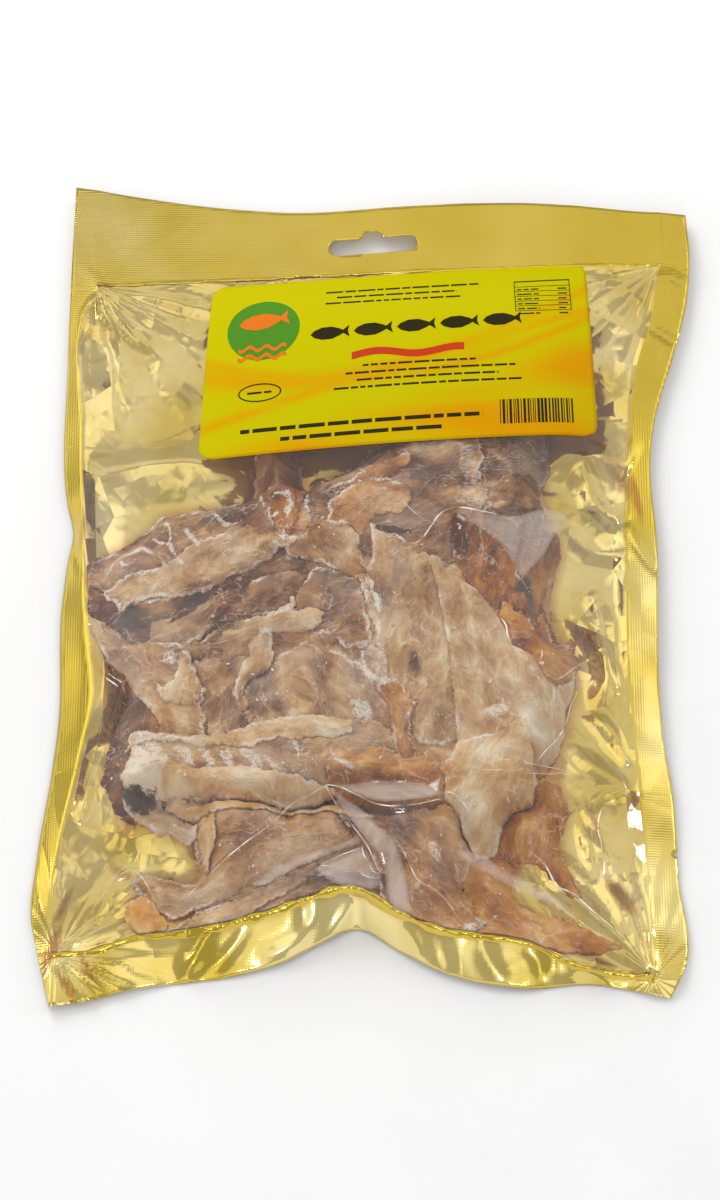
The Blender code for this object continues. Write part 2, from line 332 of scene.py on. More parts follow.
def turned(x, y, angle):
    """A point as it is seen from axes turned by an angle."""
    return x * math.cos(angle) + y * math.sin(angle), y * math.cos(angle) - x * math.sin(angle)


def layered(x, y, size, seed, octaves=4):
    """Random relief between about -1 and 1 whose largest bumps are the given size."""
    field = 0
    for k in range(octaves):
        u, v = turned(x, y, 0.7 + 1.9 * k)
        field = field + grain(u / size * 2**k + 11.3 * k, v / size * 2**k, seed + k) / 2**k
    return field / 1.6


def folded(x, y, size, seed, octaves=3):
    """Sharp random ridges between 0 and 1, like creased film, the largest of the given size."""
    field = 0
    for k in range(octaves):
        u, v = turned(x, y, 0.4 + 2.3 * k + seed)
        field = field + (1 - np.abs(grain(u / size * 2**k, v / size * 2**k, seed + k))) ** 3 / 2**k
    return field / 1.75


def chord_of(points):
    """The length of a line up to each of its points."""
    return np.concatenate([[0], np.cumsum(np.hypot(*np.diff(points, axis=0).T))])


def smooth_line(route, count=None, step=1.0):
    """A route of points as a smooth, evenly spaced line of so many points, or of such steps."""
    route = np.array(route, float)
    chord = chord_of(route)
    at = np.linspace(0, chord[-1], count or max(3, int(chord[-1] / step)))
    if len(route) < 3:
        return np.stack([np.interp(at, chord, route[:, k]) for k in (0, 1)], axis=1)
    return np.stack([curve_through(list(zip(chord, route[:, k])), at) for k in (0, 1)], axis=1)


def off_segment(x, y, start, end):
    """Distance of points from a straight segment, and their place along it from 0 to 1."""
    step = end - start
    t = np.clip(((x - start[0]) * step[0] + (y - start[1]) * step[1]) / (step @ step), 0, 1)
    return np.hypot(x - start[0] - t * step[0], y - start[1] - t * step[1]), t


def crease(x, y, route, height, width):
    """A fold along a route of points, which runs out at both ends."""
    line = smooth_line(route, 8 * len(route))
    near = np.full(np.shape(x), FAR)
    along = np.zeros(np.shape(x))
    for k, (start, end) in enumerate(zip(line, line[1:])):
        distance, t = off_segment(x, y, start, end)
        along = np.where(distance < near, (k + t) / (len(line) - 1), along)
        near = np.minimum(distance, near)
    return height * np.clip(1 - near / width, 0, 1) ** 1.5 * np.sqrt(np.sin(np.pi * along).clip(0))


def sheet_mesh(name, places, uv, attributes, material):
    """A grid of faces through rows and columns of places in millimetres, with a map and attributes."""
    rows, columns = places.shape[:2]
    bm = bmesh.new()
    bmesh.ops.create_grid(bm, x_segments=columns - 1, y_segments=rows - 1, size=0.5)
    mesh = finish_mesh(name, bm, material)
    flat = np.empty(3 * len(mesh.vertices), np.float32)
    mesh.vertices.foreach_get("co", flat)
    column = np.rint((flat[0::3] + 0.5) * (columns - 1)).astype(int)
    row = np.rint((flat[1::3] + 0.5) * (rows - 1)).astype(int)
    mesh.vertices.foreach_set("co", (places[row, column] * MM).astype(np.float32).ravel())
    corner = np.empty(len(mesh.loops), np.int32)
    mesh.loops.foreach_get("vertex_index", corner)
    layer = mesh.uv_layers.new(name="sheet")
    layer.data.foreach_set("uv", uv[row, column][corner].astype(np.float32).ravel())
    for key, values in attributes.items():
        made = mesh.attributes.new(key, "FLOAT", "POINT")
        made.data.foreach_set("value", values[row, column].astype(np.float32))
    mesh.shade_smooth()
    mesh.update()
    return mesh


def show(name, mesh, slot, *replaced):
    """Add a finished piece to the pack."""
    piece = bpy.data.objects.new(name, mesh)
    bpy.context.scene.collection.objects.link(piece)
    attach(piece, "root")
    if replaced:
        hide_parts(*replaced)
    return piece


def thicken(piece, thickness):
    """Give a sheet its thickness, downwards."""
    wall = piece.modifiers.new("thickness", "SOLIDIFY")
    wall.thickness = thickness * MM
    wall.offset = -1
    wall.use_rim = True
    return piece


def lattice_places(cells_across, cells_along, start_across=0, start_along=0):
    """Web coordinates of a fine lattice, column by column and row by row."""
    ways = []
    for cells, start in ((cells_across, start_across), (cells_along, start_along)):
        parts = [np.linspace(k, k + 1, n, endpoint=False) for k, n in enumerate(cells, start)]
        ways.append(np.append(np.concatenate(parts), start + len(cells)))
    return np.meshgrid(*ways)


# Metallised polyester: a mirror-like gold broken into facets by crumples and by pleats that fan
# from the corners, and dented by the sealing knurl. Near the fillets and under the label it is
# painted amber, a painted reflection of them, and in patches it is painted pale, a painted sheen.
gold_foil, tree = blank_material("gold_metallised_polyester")
where = add(tree, "ShaderNodeTexCoord").outputs["Object"]


def fact(name):
    """A value that the piece's points carry."""
    return add(tree, "ShaderNodeAttribute", attribute_name=name).outputs["Fac"]


def math_of(operation, a, b=0.0):
    """One sum in the material, of outputs or numbers."""
    return add(tree, "ShaderNodeMath", {0: a, 1: b}, operation=operation).outputs[0]


def noise_at(tree, where, scale, detail):
    """Noise at a place, its scale in bumps to the metre."""
    return add(tree, "ShaderNodeTexNoise", {"Vector": where, "Scale": scale, "Detail": detail}).outputs[0]


def fold_of(noise):
    """Distance of a noise from its middle: 0 along thin lines, like folds."""
    return math_of("ABSOLUTE", math_of("SUBTRACT", noise, 0.5))


def bump(height, distance, under=None, strength=1.0):
    """Relief in metres, laid over another."""
    values = {"Height": height, "Distance": distance, "Strength": strength}
    if under:
        values["Normal"] = under
    return add(tree, "ShaderNodeBump", values).outputs[0]


spin = add(tree, "ShaderNodeMapping", {0: where, "Rotation": (0, 0, math.pi / 4)})
split = add(tree, "ShaderNodeSeparateXYZ", {0: spin.outputs[0]})
waves = [math_of("SINE", math_of("MULTIPLY", split.outputs[axis], 2 * math.pi / (KNURL_PITCH * MM)))
         for axis in ("X", "Y")]
knurl = math_of("MULTIPLY", math_of("MULTIPLY", *waves), fact("knurl"))
relief = bump(knurl, 0.00016, strength=0.8)
relief = bump(noise_at(tree, where, 120.0, 3.0), 0.0003, relief, 0.3)
slack = fact("slack")
for scale, depth in ((34.0, 0.0022), (110.0, 0.0005)):
    relief = bump(math_of("MULTIPLY", fold_of(noise_at(tree, where, scale, 1.0)), slack), depth, relief)
flat_where = add(tree, "ShaderNodeMapping", {0: where, "Scale": (1, 1, 0)}).outputs[0]
for scale, slope in ((45.0, 0.34), (120.0, 0.12)):
    cells = add(tree, "ShaderNodeTexVoronoi", {"Vector": flat_where, "Scale": scale},
                voronoi_dimensions="2D")
    tilt = add(tree, "ShaderNodeVectorMath", {0: cells.outputs["Color"], 1: (0.5, 0.5, 0.5)},
               operation="SUBTRACT")
    away = add(tree, "ShaderNodeVectorMath", {0: flat_where, 1: cells.outputs["Position"]},
               operation="SUBTRACT")
    plane = add(tree, "ShaderNodeVectorMath", {0: tilt.outputs[0], 1: away.outputs[0]},
                operation="DOT_PRODUCT")
    relief = bump(math_of("MULTIPLY", plane.outputs["Value"], slack), slope, relief)
fan = add(tree, "ShaderNodeCombineXYZ", {0: fact("fan_turn"), 1: fact("fan_reach")})
pleats = fold_of(add(tree, "ShaderNodeTexNoise", {0: fan.outputs[0], "Scale": 1.0, "Detail": 1.0},
                     noise_dimensions="2D").outputs[0])
relief = bump(math_of("MULTIPLY", pleats, fact("fan_rise")), 0.003, relief)
cloud = noise_at(tree, where, 28.0, 2.0)
shaded = add(tree, "ShaderNodeMapRange", {0: cloud, 1: 0.4, 2: 0.7}).outputs[0]
gold_tint = blend(tree, shaded, linear("#D6B93E"), linear("#E0C252"))
# Painted sheen: the pale attribute mixes a near-white reflection into the gold.
gold_with_painted_sheen = blend(tree, fact("pale"), gold_tint, linear("#FFECA8"))
# Painted reflection: amber mixed into the gold where the fillets and the label would mirror in it.
painted_reflection_share = math_of("SUBTRACT", math_of("MULTIPLY", fact("painted_reflection"), 2.0), cloud)
painted_reflection_amount = add(tree, "ShaderNodeMapRange", {0: painted_reflection_share, 1: -0.1, 2: 0.9, 4: 0.85}).outputs[0]
gold_with_painted_reflection = blend(tree, painted_reflection_amount, gold_with_painted_sheen, linear("#B47A34"))
shader = add(tree, "ShaderNodeBsdfPrincipled", {
    "Base Color": gold_with_painted_reflection,
    "Metallic": 0.9,
    "Roughness": 0.1,
    "Coat Weight": 0.3,
    "Coat Roughness": 0.2,
    "Normal": relief,
})
add(tree, "ShaderNodeOutputMaterial", {0: shader.outputs[0]})

LOOSE_FROM_SEAL = 10.0
CRUMPLE_SIZE = 26.0
CRUMPLE_RISE = 0.7
BORDER_WAVE_SIZE = 20.0
BORDER_WAVE_RISE = 0.35
BUCKLE_RISE = 1.2
# Folds of the foil itself: route, height and width in millimetres.
FOIL_CREASES = (
    (((-104, 120), (-96, 111), (-102, 101), (-101, 89)), 1.6, 3.0),
    (((-96, 110), (-79, 108), (-56, 104)), 1.2, 4.0),
    (((-96, 109), (-78, 101), (-57, 91)), 1.4, 5.0),
    (((-101, 108), (-93, 100), (-78, 88)), 1.8, 4.0),
    (((-99, 103), (-94, 91), (-88, 76)), 1.4, 4.0),
    (((72, 43), (79, 26), (88, 19)), 2.0, 5.0),
    (((68, 19), (78, 9), (88, 7)), 1.6, 4.0),
    (((69, -11), (77, -26), (84, -44)), 2.4, 5.0),
    (((73, -48), (80, -55), (87, -69)), 1.8, 4.0),
    (((66, -60), (76, -69), (89, -80)), 1.8, 5.0),
    (((68, -80), (72, -94), (75, -111)), 2.0, 5.0),
    (((51, -101), (60, -114), (75, -127), (92, -143)), 2.6, 6.0),
    (((-7, -114), (-5, -121), (-5, -127)), -2.4, 4.0),
    (((-54, -129), (-58, -136), (-63, -144)), 1.4, 4.0),
    (((-24, -118), (-21, -127), (-20, -134)), -1.4, 5.0),
    (((22, -128), (24, -135), (26, -140)), -1.6, 4.0),
    (((60, -133), (58, -140), (57, -145)), 1.4, 4.0),
    (((75, -139), (76, -144), (79, -148)), -1.2, 3.0),
    (((99, 113), (104, 117), (113, 113)), -1.0, 2.0),
    (((98, 97), (104, 93), (109, 89)), -1.2, 2.5),
    (((88, 20), (93, 10), (99, 1)), -1.4, 4.0),
    (((-105, 29), (-103, 14), (-99, -1)), -1.4, 3.0),
    (((-104, -135), (-93, -141), (-78, -147)), 1.6, 3.0),
    (((-104, -134), (-92, -137), (-79, -139)), 1.2, 2.6),
    (((-104, -136), (-96, -146), (-90, -152)), 1.6, 3.0),
    (((-104, -132), (-92, -122), (-86, -108)), 1.6, 3.0),
    (((-104, -133), (-88, -127), (-70, -118)), 1.6, 3.0),
    (((-52, -127), (-60, -137), (-63, -141)), 2.0, 5.0),
    (((-40, -125), (-49, -136), (-62, -143)), -1.6, 4.0),
    (((-18, -120), (-22, -128), (-36, -136)), 1.8, 4.0),
    (((-6, -117), (-9, -121), (-15, -129)), 1.6, 3.0),
    (((10, -126), (14, -131), (16, -137)), 1.8, 4.0),
    (((35, -130), (38, -137), (44, -144)), 1.8, 5.0),
    (((50, -133), (56, -139), (58, -146)), -1.6, 4.0),
    (((66, -139), (74, -142), (82, -146)), 1.4, 3.0),
    (((92, -142), (80, -122), (70, -108), (58, -98)), 3.0, 5.0),
    (((92, -142), (86, -120), (80, -102), (72, -92)), 2.4, 4.5),
    (((92, -142), (90, -118), (86, -98)), 1.8, 3.5),
    (((92, -142), (74, -128), (60, -118)), 1.6, 3.5),
    (((72, -84), (78, -78), (86, -80)), 1.8, 3.5),
    (((-82, -94), (-66, -92), (-58, -98)), 4.0, 11.0),
    (((42, -102), (52, -100), (60, -106)), 2.5, 8.0),
    (((-98, 38), (-70, 44), (-40, 42)), 5.0, 15.0),
    (((60, 50), (78, 46), (90, 40)), 4.0, 14.0),
    (((-93, -12), (-91, -38), (-92, -60)), 3.5, 7.0),
    (((-90, -62), (-88, -80), (-84, -96)), 3.0, 7.0),
    (((76, -4), (80, -26), (78, -48)), 3.0, 7.0),
)


def buckled(x, y):
    """Near 1 where the border is thrown into waves: low on the right and along the bottom."""
    low_right = np.clip((x - 84) / 8, 0, 1) * np.clip((20 - y) / 30, 0, 1)
    return np.clip(low_right + np.clip(-105 - y, 0, 12) / 12, 0, 1)


def foil_height(x, y):
    """The creased web: its own height, with crumples in the loose pocket and the sharp folds."""
    depth = pocket_depth(x, y)
    loose = np.clip(depth / LOOSE_FROM_SEAL, 0, 1)
    z = foil_top(x, y) + loose * CRUMPLE_RISE * folded(x, y, CRUMPLE_SIZE, 3)
    waves = BORDER_WAVE_RISE + BUCKLE_RISE * buckled(x, y)
    z = z + waves * (1 - loose) * layered(x, y, BORDER_WAVE_SIZE, 9, 2)
    for route, height, width in FOIL_CREASES:
        z = z + crease(x, y, route, height, width)
    return np.maximum(z, FOIL_THICK + 0.05)


web_across, web_along = lattice_places(WEB_CELLS_ACROSS, WEB_CELLS_ALONG)
web_x, web_y = web_point(web_across, web_along)
places = np.stack([web_x, web_y, foil_height(web_x, web_y)], axis=2)
web_depth = pocket_depth(web_x, web_y)
border = np.clip(0.3 - web_depth, 0, 1)
border *= np.where(web_along < 1, 0.25, 1.0)
# The pale attribute is a painted sheen, a white reflection painted into the gold: strongest in the buckled
# border, near the top-left corner and at the bottom dip, and at half strength in the pocket.
share = 0.6 * buckled(web_x, web_y) + 0.35 * np.exp(-np.hypot(web_x + 95, web_y - 135) / 35)
share = np.where(web_depth > 0, 0.5, share)
painted_sheen_dip = np.exp(-(((web_x + 5) / 24) ** 2)) * (web_y < -100) * (web_depth < 0)
web_facts = {
    "slack": np.clip(1.3 - border, 0, 1) * np.clip(web_depth / 4, 0, 1)
    + 0.2 * buckled(web_x, web_y) * (web_depth < 0),
    "knurl": border * (0.12 + 0.9 * np.exp(-np.hypot(web_x + 100, web_y - 146) / 34)),
    "pale": np.clip(share * (0.7 + 1.1 * layered(web_x, web_y, 18, 51, 3)) + 0.5 * painted_sheen_dip, 0, 0.9),
}
for key in ("fan_turn", "fan_reach", "fan_rise"):
    web_facts[key] = np.zeros(web_x.shape)
for k, (corner_x, corner_y, way_x, way_y) in enumerate(POCKET_CORNERS):
    u, v = (web_x - corner_x) * way_x, (web_y - corner_y) * way_y
    reach, turn = np.hypot(u, v), np.arctan2(v, u)
    near = reach < FAN_REACH
    web_facts["fan_turn"][near] = (2.8 * turn + 20 * k)[near]
    web_facts["fan_reach"][near] = (0.02 * reach)[near]
    rise = 0.075 * reach * (1 - reach / FAN_REACH) * np.clip((math.pi - np.abs(turn)) / 0.6, 0, 1)
    rise = rise * np.where(web_depth > 0, 1, FAN_OUTSIDE[k])
    web_facts["fan_rise"][near] = rise[near]
web_mesh = sheet_mesh("foil_web", places, np.stack([web_x, web_y], axis=2), web_facts, gold_foil)
foil_web = thicken(show("foil_web", web_mesh, "gold_foil", "foil_back"), FOIL_THICK)


def arc(middle, radius, start, end, steps):
    """Points along an arc, its ends in degrees."""
    for angle in np.linspace(math.radians(start), math.radians(end), steps):
        yield middle[0] + radius * math.cos(angle), middle[1] + radius * math.sin(angle)


def slot_outline():
    """The hanging slot's outline, anticlockwise, about its own middle."""
    run, radius = (SLOT_LENGTH - SLOT_WIDTH) / 2, SLOT_WIDTH / 2
    lean = math.degrees(math.asin((radius - SLOT_BUMP_OFFSET) / SLOT_BUMP_RADIUS))
    yield from arc((run, 0), radius, -90, 90, 12)
    yield from arc((0, SLOT_BUMP_OFFSET), SLOT_BUMP_RADIUS, lean, 180 - lean, 12)
    yield from arc((-run, 0), radius, 90, 270, 12)


def punch(piece, outline):
    """Cut an outline of (x, y) points through a piece for good."""
    bm = bmesh.new()
    face = bm.faces.new([bm.verts.new((x * MM, y * MM, DIE_LOW * MM)) for x, y in outline])
    made = bmesh.ops.extrude_face_region(bm, geom=[face])["geom"]
    rising = [item for item in made if isinstance(item, bmesh.types.BMVert)]
    bmesh.ops.translate(bm, verts=rising, vec=(0, 0, DIE_TALL * MM))
    bmesh.ops.recalc_face_normals(bm, faces=bm.faces)
    die = bpy.data.objects.new("die", finish_mesh("die", bm))
    bpy.context.scene.collection.objects.link(die)
    cut = piece.modifiers.new("punch", "BOOLEAN")
    cut.operation = "DIFFERENCE"
    cut.object = die
    graph = bpy.context.evaluated_depsgraph_get()
    punched = bpy.data.meshes.new_from_object(piece.evaluated_get(graph))
    piece.modifiers.clear()
    piece.data = punched
    bpy.data.objects.remove(die)


slot_points = [turned(x, y, -SLOT_TURN) for x, y in slot_outline()]
punch(foil_web, [(SLOT_MIDDLE[0] + x, SLOT_MIDDLE[1] + y) for x, y in slot_points])
notch_x, notch_y = NOTCH_AT
punch(foil_web, (
    (notch_x - NOTCH_SIZE, notch_y),
    (notch_x + NOTCH_SIZE, notch_y - NOTCH_SIZE),
    (notch_x + NOTCH_SIZE, notch_y + NOTCH_SIZE),
))

# ---------------------------------------------------------------------------------------------
# Fillets. Air-dried whitefish torn into sheets, strips and rolls, stiff as card: tan flesh with
# pale membranes, amber edges and scraps of grey skin. They lie loose, one over another.

CROWN_ALONG = (
    (-142, 8), (-120, 15), (-95, 19.5), (-60, 22), (-20, 22), (20, 20.5), (42, 18.5), (70, 17),
    (95, 13.5), (112, 8.5), (121, 6),
)
CROWN_ACROSS = ((-107, 0.55), (-92, 0.86), (-65, 1.0), (45, 1.0), (68, 0.84), (82, 0.62), (104, 0.5))
POCKET_RISE = 6.5
FILLET_CELL = 0.6
FILLET_THICK = 0.5
RIM_REACH = 4.0  # how far in from its rim a piece settles on what it lies on
SEAL_CLEARANCE = 1.2
TEAR_STEP = 0.4
PILE_CELL = 0.8
PILE_DROOP = 12.0
DROOP_CLEARANCE = 1.6
WARP_SIZE = 17.0
WRINKLE_SIZE = 6.5
FLAKES = 2.4  # the flesh splits into steps, this many between its mean and its highest
FLAKE_SIZE = 8.0
FLAKE_RISE = 0.5
ROLL_WIDTH = 2.6
LIP_WIDTH = 1.8
PILE_LOW = (-118.0, -156.0)
PILE_SIZE = (296, 392)
SKIRT_MOST = 3.0
FIBRES_TO_POINT = 0.09
SPOT_REACH = 2.2  # beyond so many times its size a spot leaves no mark
MEMBRANE_MOST = 0.64
MILKY_MOST = 0.4


def crown(x, y):
    """Height of the filled pocket without what presses up into it."""
    rise = 1 - np.exp(-np.clip(pocket_depth(x, y), 0, None) / POCKET_RISE)
    full = curve_through(CROWN_ALONG, y) * curve_through(CROWN_ACROSS, x)
    foil = foil_top(x, y)
    return foil + 0.6 + np.maximum(full - foil, 0.5) * rise


pile_x, pile_y = np.meshgrid(
    PILE_LOW[0] + PILE_CELL * np.arange(PILE_SIZE[0]), PILE_LOW[1] + PILE_CELL * np.arange(PILE_SIZE[1])
)
pile = foil_height(pile_x, pile_y)


def read_map(field, x, y):
    """A map of the pocket, read between its cells."""
    row = np.clip((y - PILE_LOW[1]) / PILE_CELL, 0, PILE_SIZE[1] - 1.001)
    column = np.clip((x - PILE_LOW[0]) / PILE_CELL, 0, PILE_SIZE[0] - 1.001)
    i, j = row.astype(int), column.astype(int)
    v, u = row - i, column - j
    low = field[i, j] * (1 - u) + field[i, j + 1] * u
    high = field[i + 1, j] * (1 - u) + field[i + 1, j + 1] * u
    return low * (1 - v) + high * v


def spread(field, steps):
    """The highest value within so many cells."""
    for _ in range(steps):
        padded = np.pad(field, 1, mode="edge")
        field = np.max([padded[1:-1, 1:-1], padded[:-2, 1:-1], padded[2:, 1:-1], padded[1:-1, :-2],
                        padded[1:-1, 2:]], axis=0)
    return field


def relaxed(field, steps):
    """The field evened out by so many steps of averaging."""
    for _ in range(steps):
        padded = np.pad(field, 1, mode="edge")
        field = (padded[:-2, 1:-1] + padded[2:, 1:-1] + padded[1:-1, :-2] + padded[1:-1, 2:]) / 4
    return field


def aside(ahead):
    """Unit vectors to the right of the steps given."""
    return np.stack([ahead[:, 1], -ahead[:, 0]], axis=1) / np.maximum(np.hypot(*ahead.T), 1e-6)[:, None]


def outward_of(line, reach):
    """Unit vectors out of a closed line that runs anticlockwise, read over so many points each way."""
    return aside(np.roll(line, -reach, axis=0) - np.roll(line, reach, axis=0))


def torn(outline, fray, seed):
    """A closed outline as a dense line of points, torn in and out by some millimetres."""
    points = np.array(outline + outline[:1], float)
    chord = chord_of(points)
    at = np.linspace(0, chord[-1], int(chord[-1] / TEAR_STEP), endpoint=False)
    line = np.stack([np.interp(at, chord, points[:, k]) for k in (0, 1)], axis=1)
    for _ in range(2):
        line = (np.roll(line, 1, axis=0) + 2 * line + np.roll(line, -1, axis=0)) / 4
    x, y = line.T
    tear = layered(x, y, 4.5, seed, 4) + 1.6 * (folded(x, y, 2.4, seed + 5, 2) - 0.4)
    return line + outward_of(line, 1) * (fray * tear)[:, None]


def inside_of(line, x, y):
    """Whether points lie inside a closed line."""
    found = np.zeros(np.shape(x), bool)
    for (ax, ay), (bx, by) in zip(line, np.roll(line, -1, axis=0)):
        crosses = (ay > y) != (by > y)
        if crosses.any():
            found ^= crosses & (x < ax + (y - ay) * (bx - ax) / (by - ay + 1e-12))
    return found


def cut_sheet(line, cell):
    """A flat sheet with the outline given: its mesh under construction, and its points in mm."""
    low = line.min(axis=0) - cell
    columns, rows = np.ceil((line.max(axis=0) + cell - low) / cell).astype(int)
    bm = bmesh.new()
    bmesh.ops.create_grid(bm, x_segments=int(columns), y_segments=int(rows), size=0.5)
    bm.faces.ensure_lookup_table()
    middle = np.array([face.calc_center_median()[:2] for face in bm.faces]) + 0.5
    middle = middle * (columns, rows) * cell + low
    kept = inside_of(line, *middle.T)
    gone = [face for face, keep in zip(bm.faces, kept) if not keep]
    bmesh.ops.delete(bm, geom=gone, context="FACES")
    bm.verts.ensure_lookup_table()
    points = (np.array([vert.co[:2] for vert in bm.verts]) + 0.5) * (columns, rows) * cell + low
    rim = np.array([vert.is_boundary for vert in bm.verts])
    nearest = np.empty(rim.sum(), int)
    for k, point in enumerate(points[rim]):
        nearest[k] = np.argmin(((line - point) ** 2).sum(axis=1))
    points[rim] = line[nearest]
    return bm, points


def depth_inside(line, points):
    """Distance of points to a closed line."""
    depth = np.full(len(points), FAR)
    for point in line[::2]:
        depth = np.minimum(depth, (points[:, 0] - point[0]) ** 2 + (points[:, 1] - point[1]) ** 2)
    return np.sqrt(depth)


def finish_sheet(name, bm, points, height, uv, attributes, material):
    """Turn a cut sheet into a mesh at its heights, its rim turned down by a skirt if it has one."""
    for vert, (x, y), z in zip(bm.verts, points, height):
        vert.co = (x * MM, y * MM, z * MM)
    layers = {key: bm.verts.layers.float.new(key) for key in attributes}
    for key, layer in layers.items():
        for vert, value in zip(bm.verts, attributes[key]):
            vert[layer] = value
    bm.verts.index_update()
    sheet = bm.loops.layers.uv.new("sheet")
    for face in bm.faces:
        face.smooth = True
        for loop in face.loops:
            loop[sheet].uv = uv[loop.vert.index]
    if "skirt" in layers:
        rim = [edge for edge in bm.edges if edge.is_boundary]
        made = bmesh.ops.extrude_edge_only(bm, edges=rim)["geom"]
        for item in made:
            if isinstance(item, bmesh.types.BMVert):
                item.co.z -= item[layers["skirt"]] * MM
            elif isinstance(item, bmesh.types.BMFace):
                item.smooth = True
    return finish_mesh(name, bm, material)


def near_route(x, y, route, width):
    """Near 1 on a ragged line through a route of points, falling to 0 at its width."""
    line = np.array(route, float)
    x, y = x + 0.9 * layered(x, y, 3.5, 3, 3), y + 0.9 * layered(x, y, 3.5, 8, 3)
    near = np.full(np.shape(x), FAR)
    for start, end in zip(line, line[1:]):
        near = np.minimum(near, off_segment(x, y, start, end)[0])
    return np.clip(1.0 - 1.3 * near / width + 0.9 * layered(x, y, 3.5, 17, 4), 0, 0.85)


def spot(x, y, middle_x, middle_y, long, wide, turn, seed=70):
    """1 in a ragged oval spot and 0 outside it; sizes are half lengths in mm, the turn in degrees."""
    u, v = turned(x - middle_x, y - middle_y, math.radians(turn))
    return np.clip(1.4 * (1 - np.hypot(u / long, v / wide) + 0.8 * layered(x, y, 5, seed, 4)), 0, 1)


# White membrane: lines of it along folds, and patches with ragged outlines.
MEMBRANE_LINES = (
    (((-73, 23), (-73, 17), (-71, 15), (-69.5, 12), (-69, 7.5)), 0.9),
    (((-62, 25), (-60.5, 22.5), (-58, 18)), 1.6),
    (((-51.5, 26.5), (-49.5, 24), (-48, 22)), 1.4),
    (((-54.5, 17.5), (-52, 13.5), (-49, 12), (-45, 13)), 1.1),
    (((-76, 9.5), (-73, 7), (-70, 5.5), (-68, 3), (-65.5, 0.5), (-64.5, -1.5)), 1.7),
    (((-63, 11), (-60.5, 7), (-59, 5)), 1.4),
    ((
        (-90.5, -1.5), (-88.5, 2.5), (-86.5, 4.5), (-82.5, 4.5), (-78.5, 5), (-75.5, 3), (-72, 1),
        (-69.5, -2.5),
    ), 1.1),
    (((-86.5, 1.5), (-84, 0), (-81.5, 0)), 0.9),
    (((-38, 26.5), (-37.5, 20.5), (-36.5, 16.5), (-34.5, 15.5), (-32, 16.5)), 0.9),
    (((-29, 25.5), (-28, 20.5), (-29, 16.5), (-30, 11.5), (-30, 7)), 1.4),
    (((-33, 24.5), (-29, 24.5)), 1.2),
    (((-28.5, 7), (-24, 8)), 1.4),
    (((-64, -33.5), (-62, -34), (-60, -39), (-59, -44), (-56.5, -47.5), (-56.5, -50.5)), 0.8),
    (((-72, -47.5), (-70, -47), (-68, -45), (-66, -44)), 1.0),
    (((-37, -27), (-35, -26.5), (-33.5, -30)), 1.4),
    ((
        (-43, -37), (-44, -40), (-44.5, -44), (-45.5, -48.5), (-45, -53), (-43.5, -56), (-41, -59),
        (-38, -60.5),
    ), 0.9),
    (((-35.5, -21.5), (-33, -20.5), (-29, -19)), 1.6),
    (((-1, -8.5), (0, -12), (1.5, -16), (2.5, -19.5)), 1.9),
    (((2.5, -24.5), (2, -30), (4, -35)), 1.2),
    (((-29, -63.5), (-26, -66), (-24.5, -69), (-24, -73)), 0.8),
    (((-30, -73.5), (-26.5, -75), (-24, -75.5), (-22, -75.5)), 0.8),
    (((-14, -69), (-12.5, -71.5), (-9, -74), (-7, -75)), 1.0),
    (((-11, -30), (-8.5, -32.5), (-4, -31), (0, -32), (2.5, -34), (4, -37)), 1.5),
    (((-14, -35), (-11, -36.5), (-7.5, -38), (-5, -38.5), (-3, -42.5), (0, -45), (3.5, -45.5)), 1.4),
    (((-3.5, -33.5), (-3, -37), (-2, -41.5), (0.5, -44)), 1.1),
    (((61.5, -44), (60.5, -50.5), (60.5, -56), (61.5, -60)), 0.7),
)
MEMBRANE_PATCHES = (
    ((-74.5, -66.5), (-72, -65), (-70.5, -67), (-71, -70.5), (-73.5, -70)),
    (
        (-66.5, -67.5), (-63.5, -66.5), (-60.5, -69), (-59.5, -72), (-59, -74), (-61, -73.5),
        (-63.5, -70.5),
    ),
    ((-58.5, -67.5), (-55.5, -68), (-53, -71.5), (-51.5, -75), (-54.5, -74.5), (-56.5, -71)),
    ((-51.5, -70), (-48.5, -69), (-47, -69.5), (-46.5, -73), (-45.5, -75), (-48.5, -74)),
    (
        (-44, -68.5), (-40.5, -69), (-38.5, -71), (-36.5, -73.5), (-36.5, -76.5), (-40.5, -75.5),
        (-39.5, -73.5), (-42, -71.5),
    ),
    ((-36.5, -71), (-34, -72), (-30.5, -74.5), (-27.5, -76.5), (-30.5, -77), (-34, -75)),
    ((37.5, -55.5), (41, -54), (44.5, -53), (46, -54.5), (44.5, -57), (40, -57.5)),
    ((49.5, -57.5), (52, -58.5), (56, -60.5), (58.5, -62), (54.5, -63), (51.5, -61)),
    (
        (-83.5, -75), (-82, -71), (-80, -66.5), (-79, -61.5), (-74, -62), (-71.5, -66), (-74, -68),
        (-68, -71), (-70.5, -75), (-71, -79.5), (-79, -79.5), (-82, -77),
    ),
    ((-70.5, -34), (-68, -33), (-65.5, -34), (-65, -37), (-67, -38.5), (-69.5, -37)),
    ((18, -100.5), (20.5, -100), (22.5, -102.5), (22.5, -106.5), (20.5, -106), (18.5, -103.5)),
    ((30, -126), (33.5, -125), (35, -126.5), (33.5, -128.5), (30.5, -128.5)),
    ((-7.5, -52), (-1, -52.5), (0, -58.5), (-4, -60), (-7, -55.5)),
    ((-77, -88), (-73.5, -89.5), (-71, -93.5), (-73.5, -92.5)),
)
MILKY_PATCHES = (
    ((32.5, -13.5), (36.5, -15)),
    (
        (-2.5, -30.5), (2.5, -32), (4, -36.5), (6, -40.5), (6.5, -45.5), (2.5, -47.5), (-1.5, -46.5),
        (-3.5, -42.5), (-7, -40), (-3.5, -37),
    ),
    (
        (31, 43.5), (34, 44), (36.5, 34), (38.5, 26.5), (39, 18.5), (33.5, 18), (31, 22.5), (32.5, 30),
        (30.5, 36),
    ),
    ((-5, -7.5), (-1.5, -7.5), (0, -12), (-0.5, -15), (-3, -12)),
)
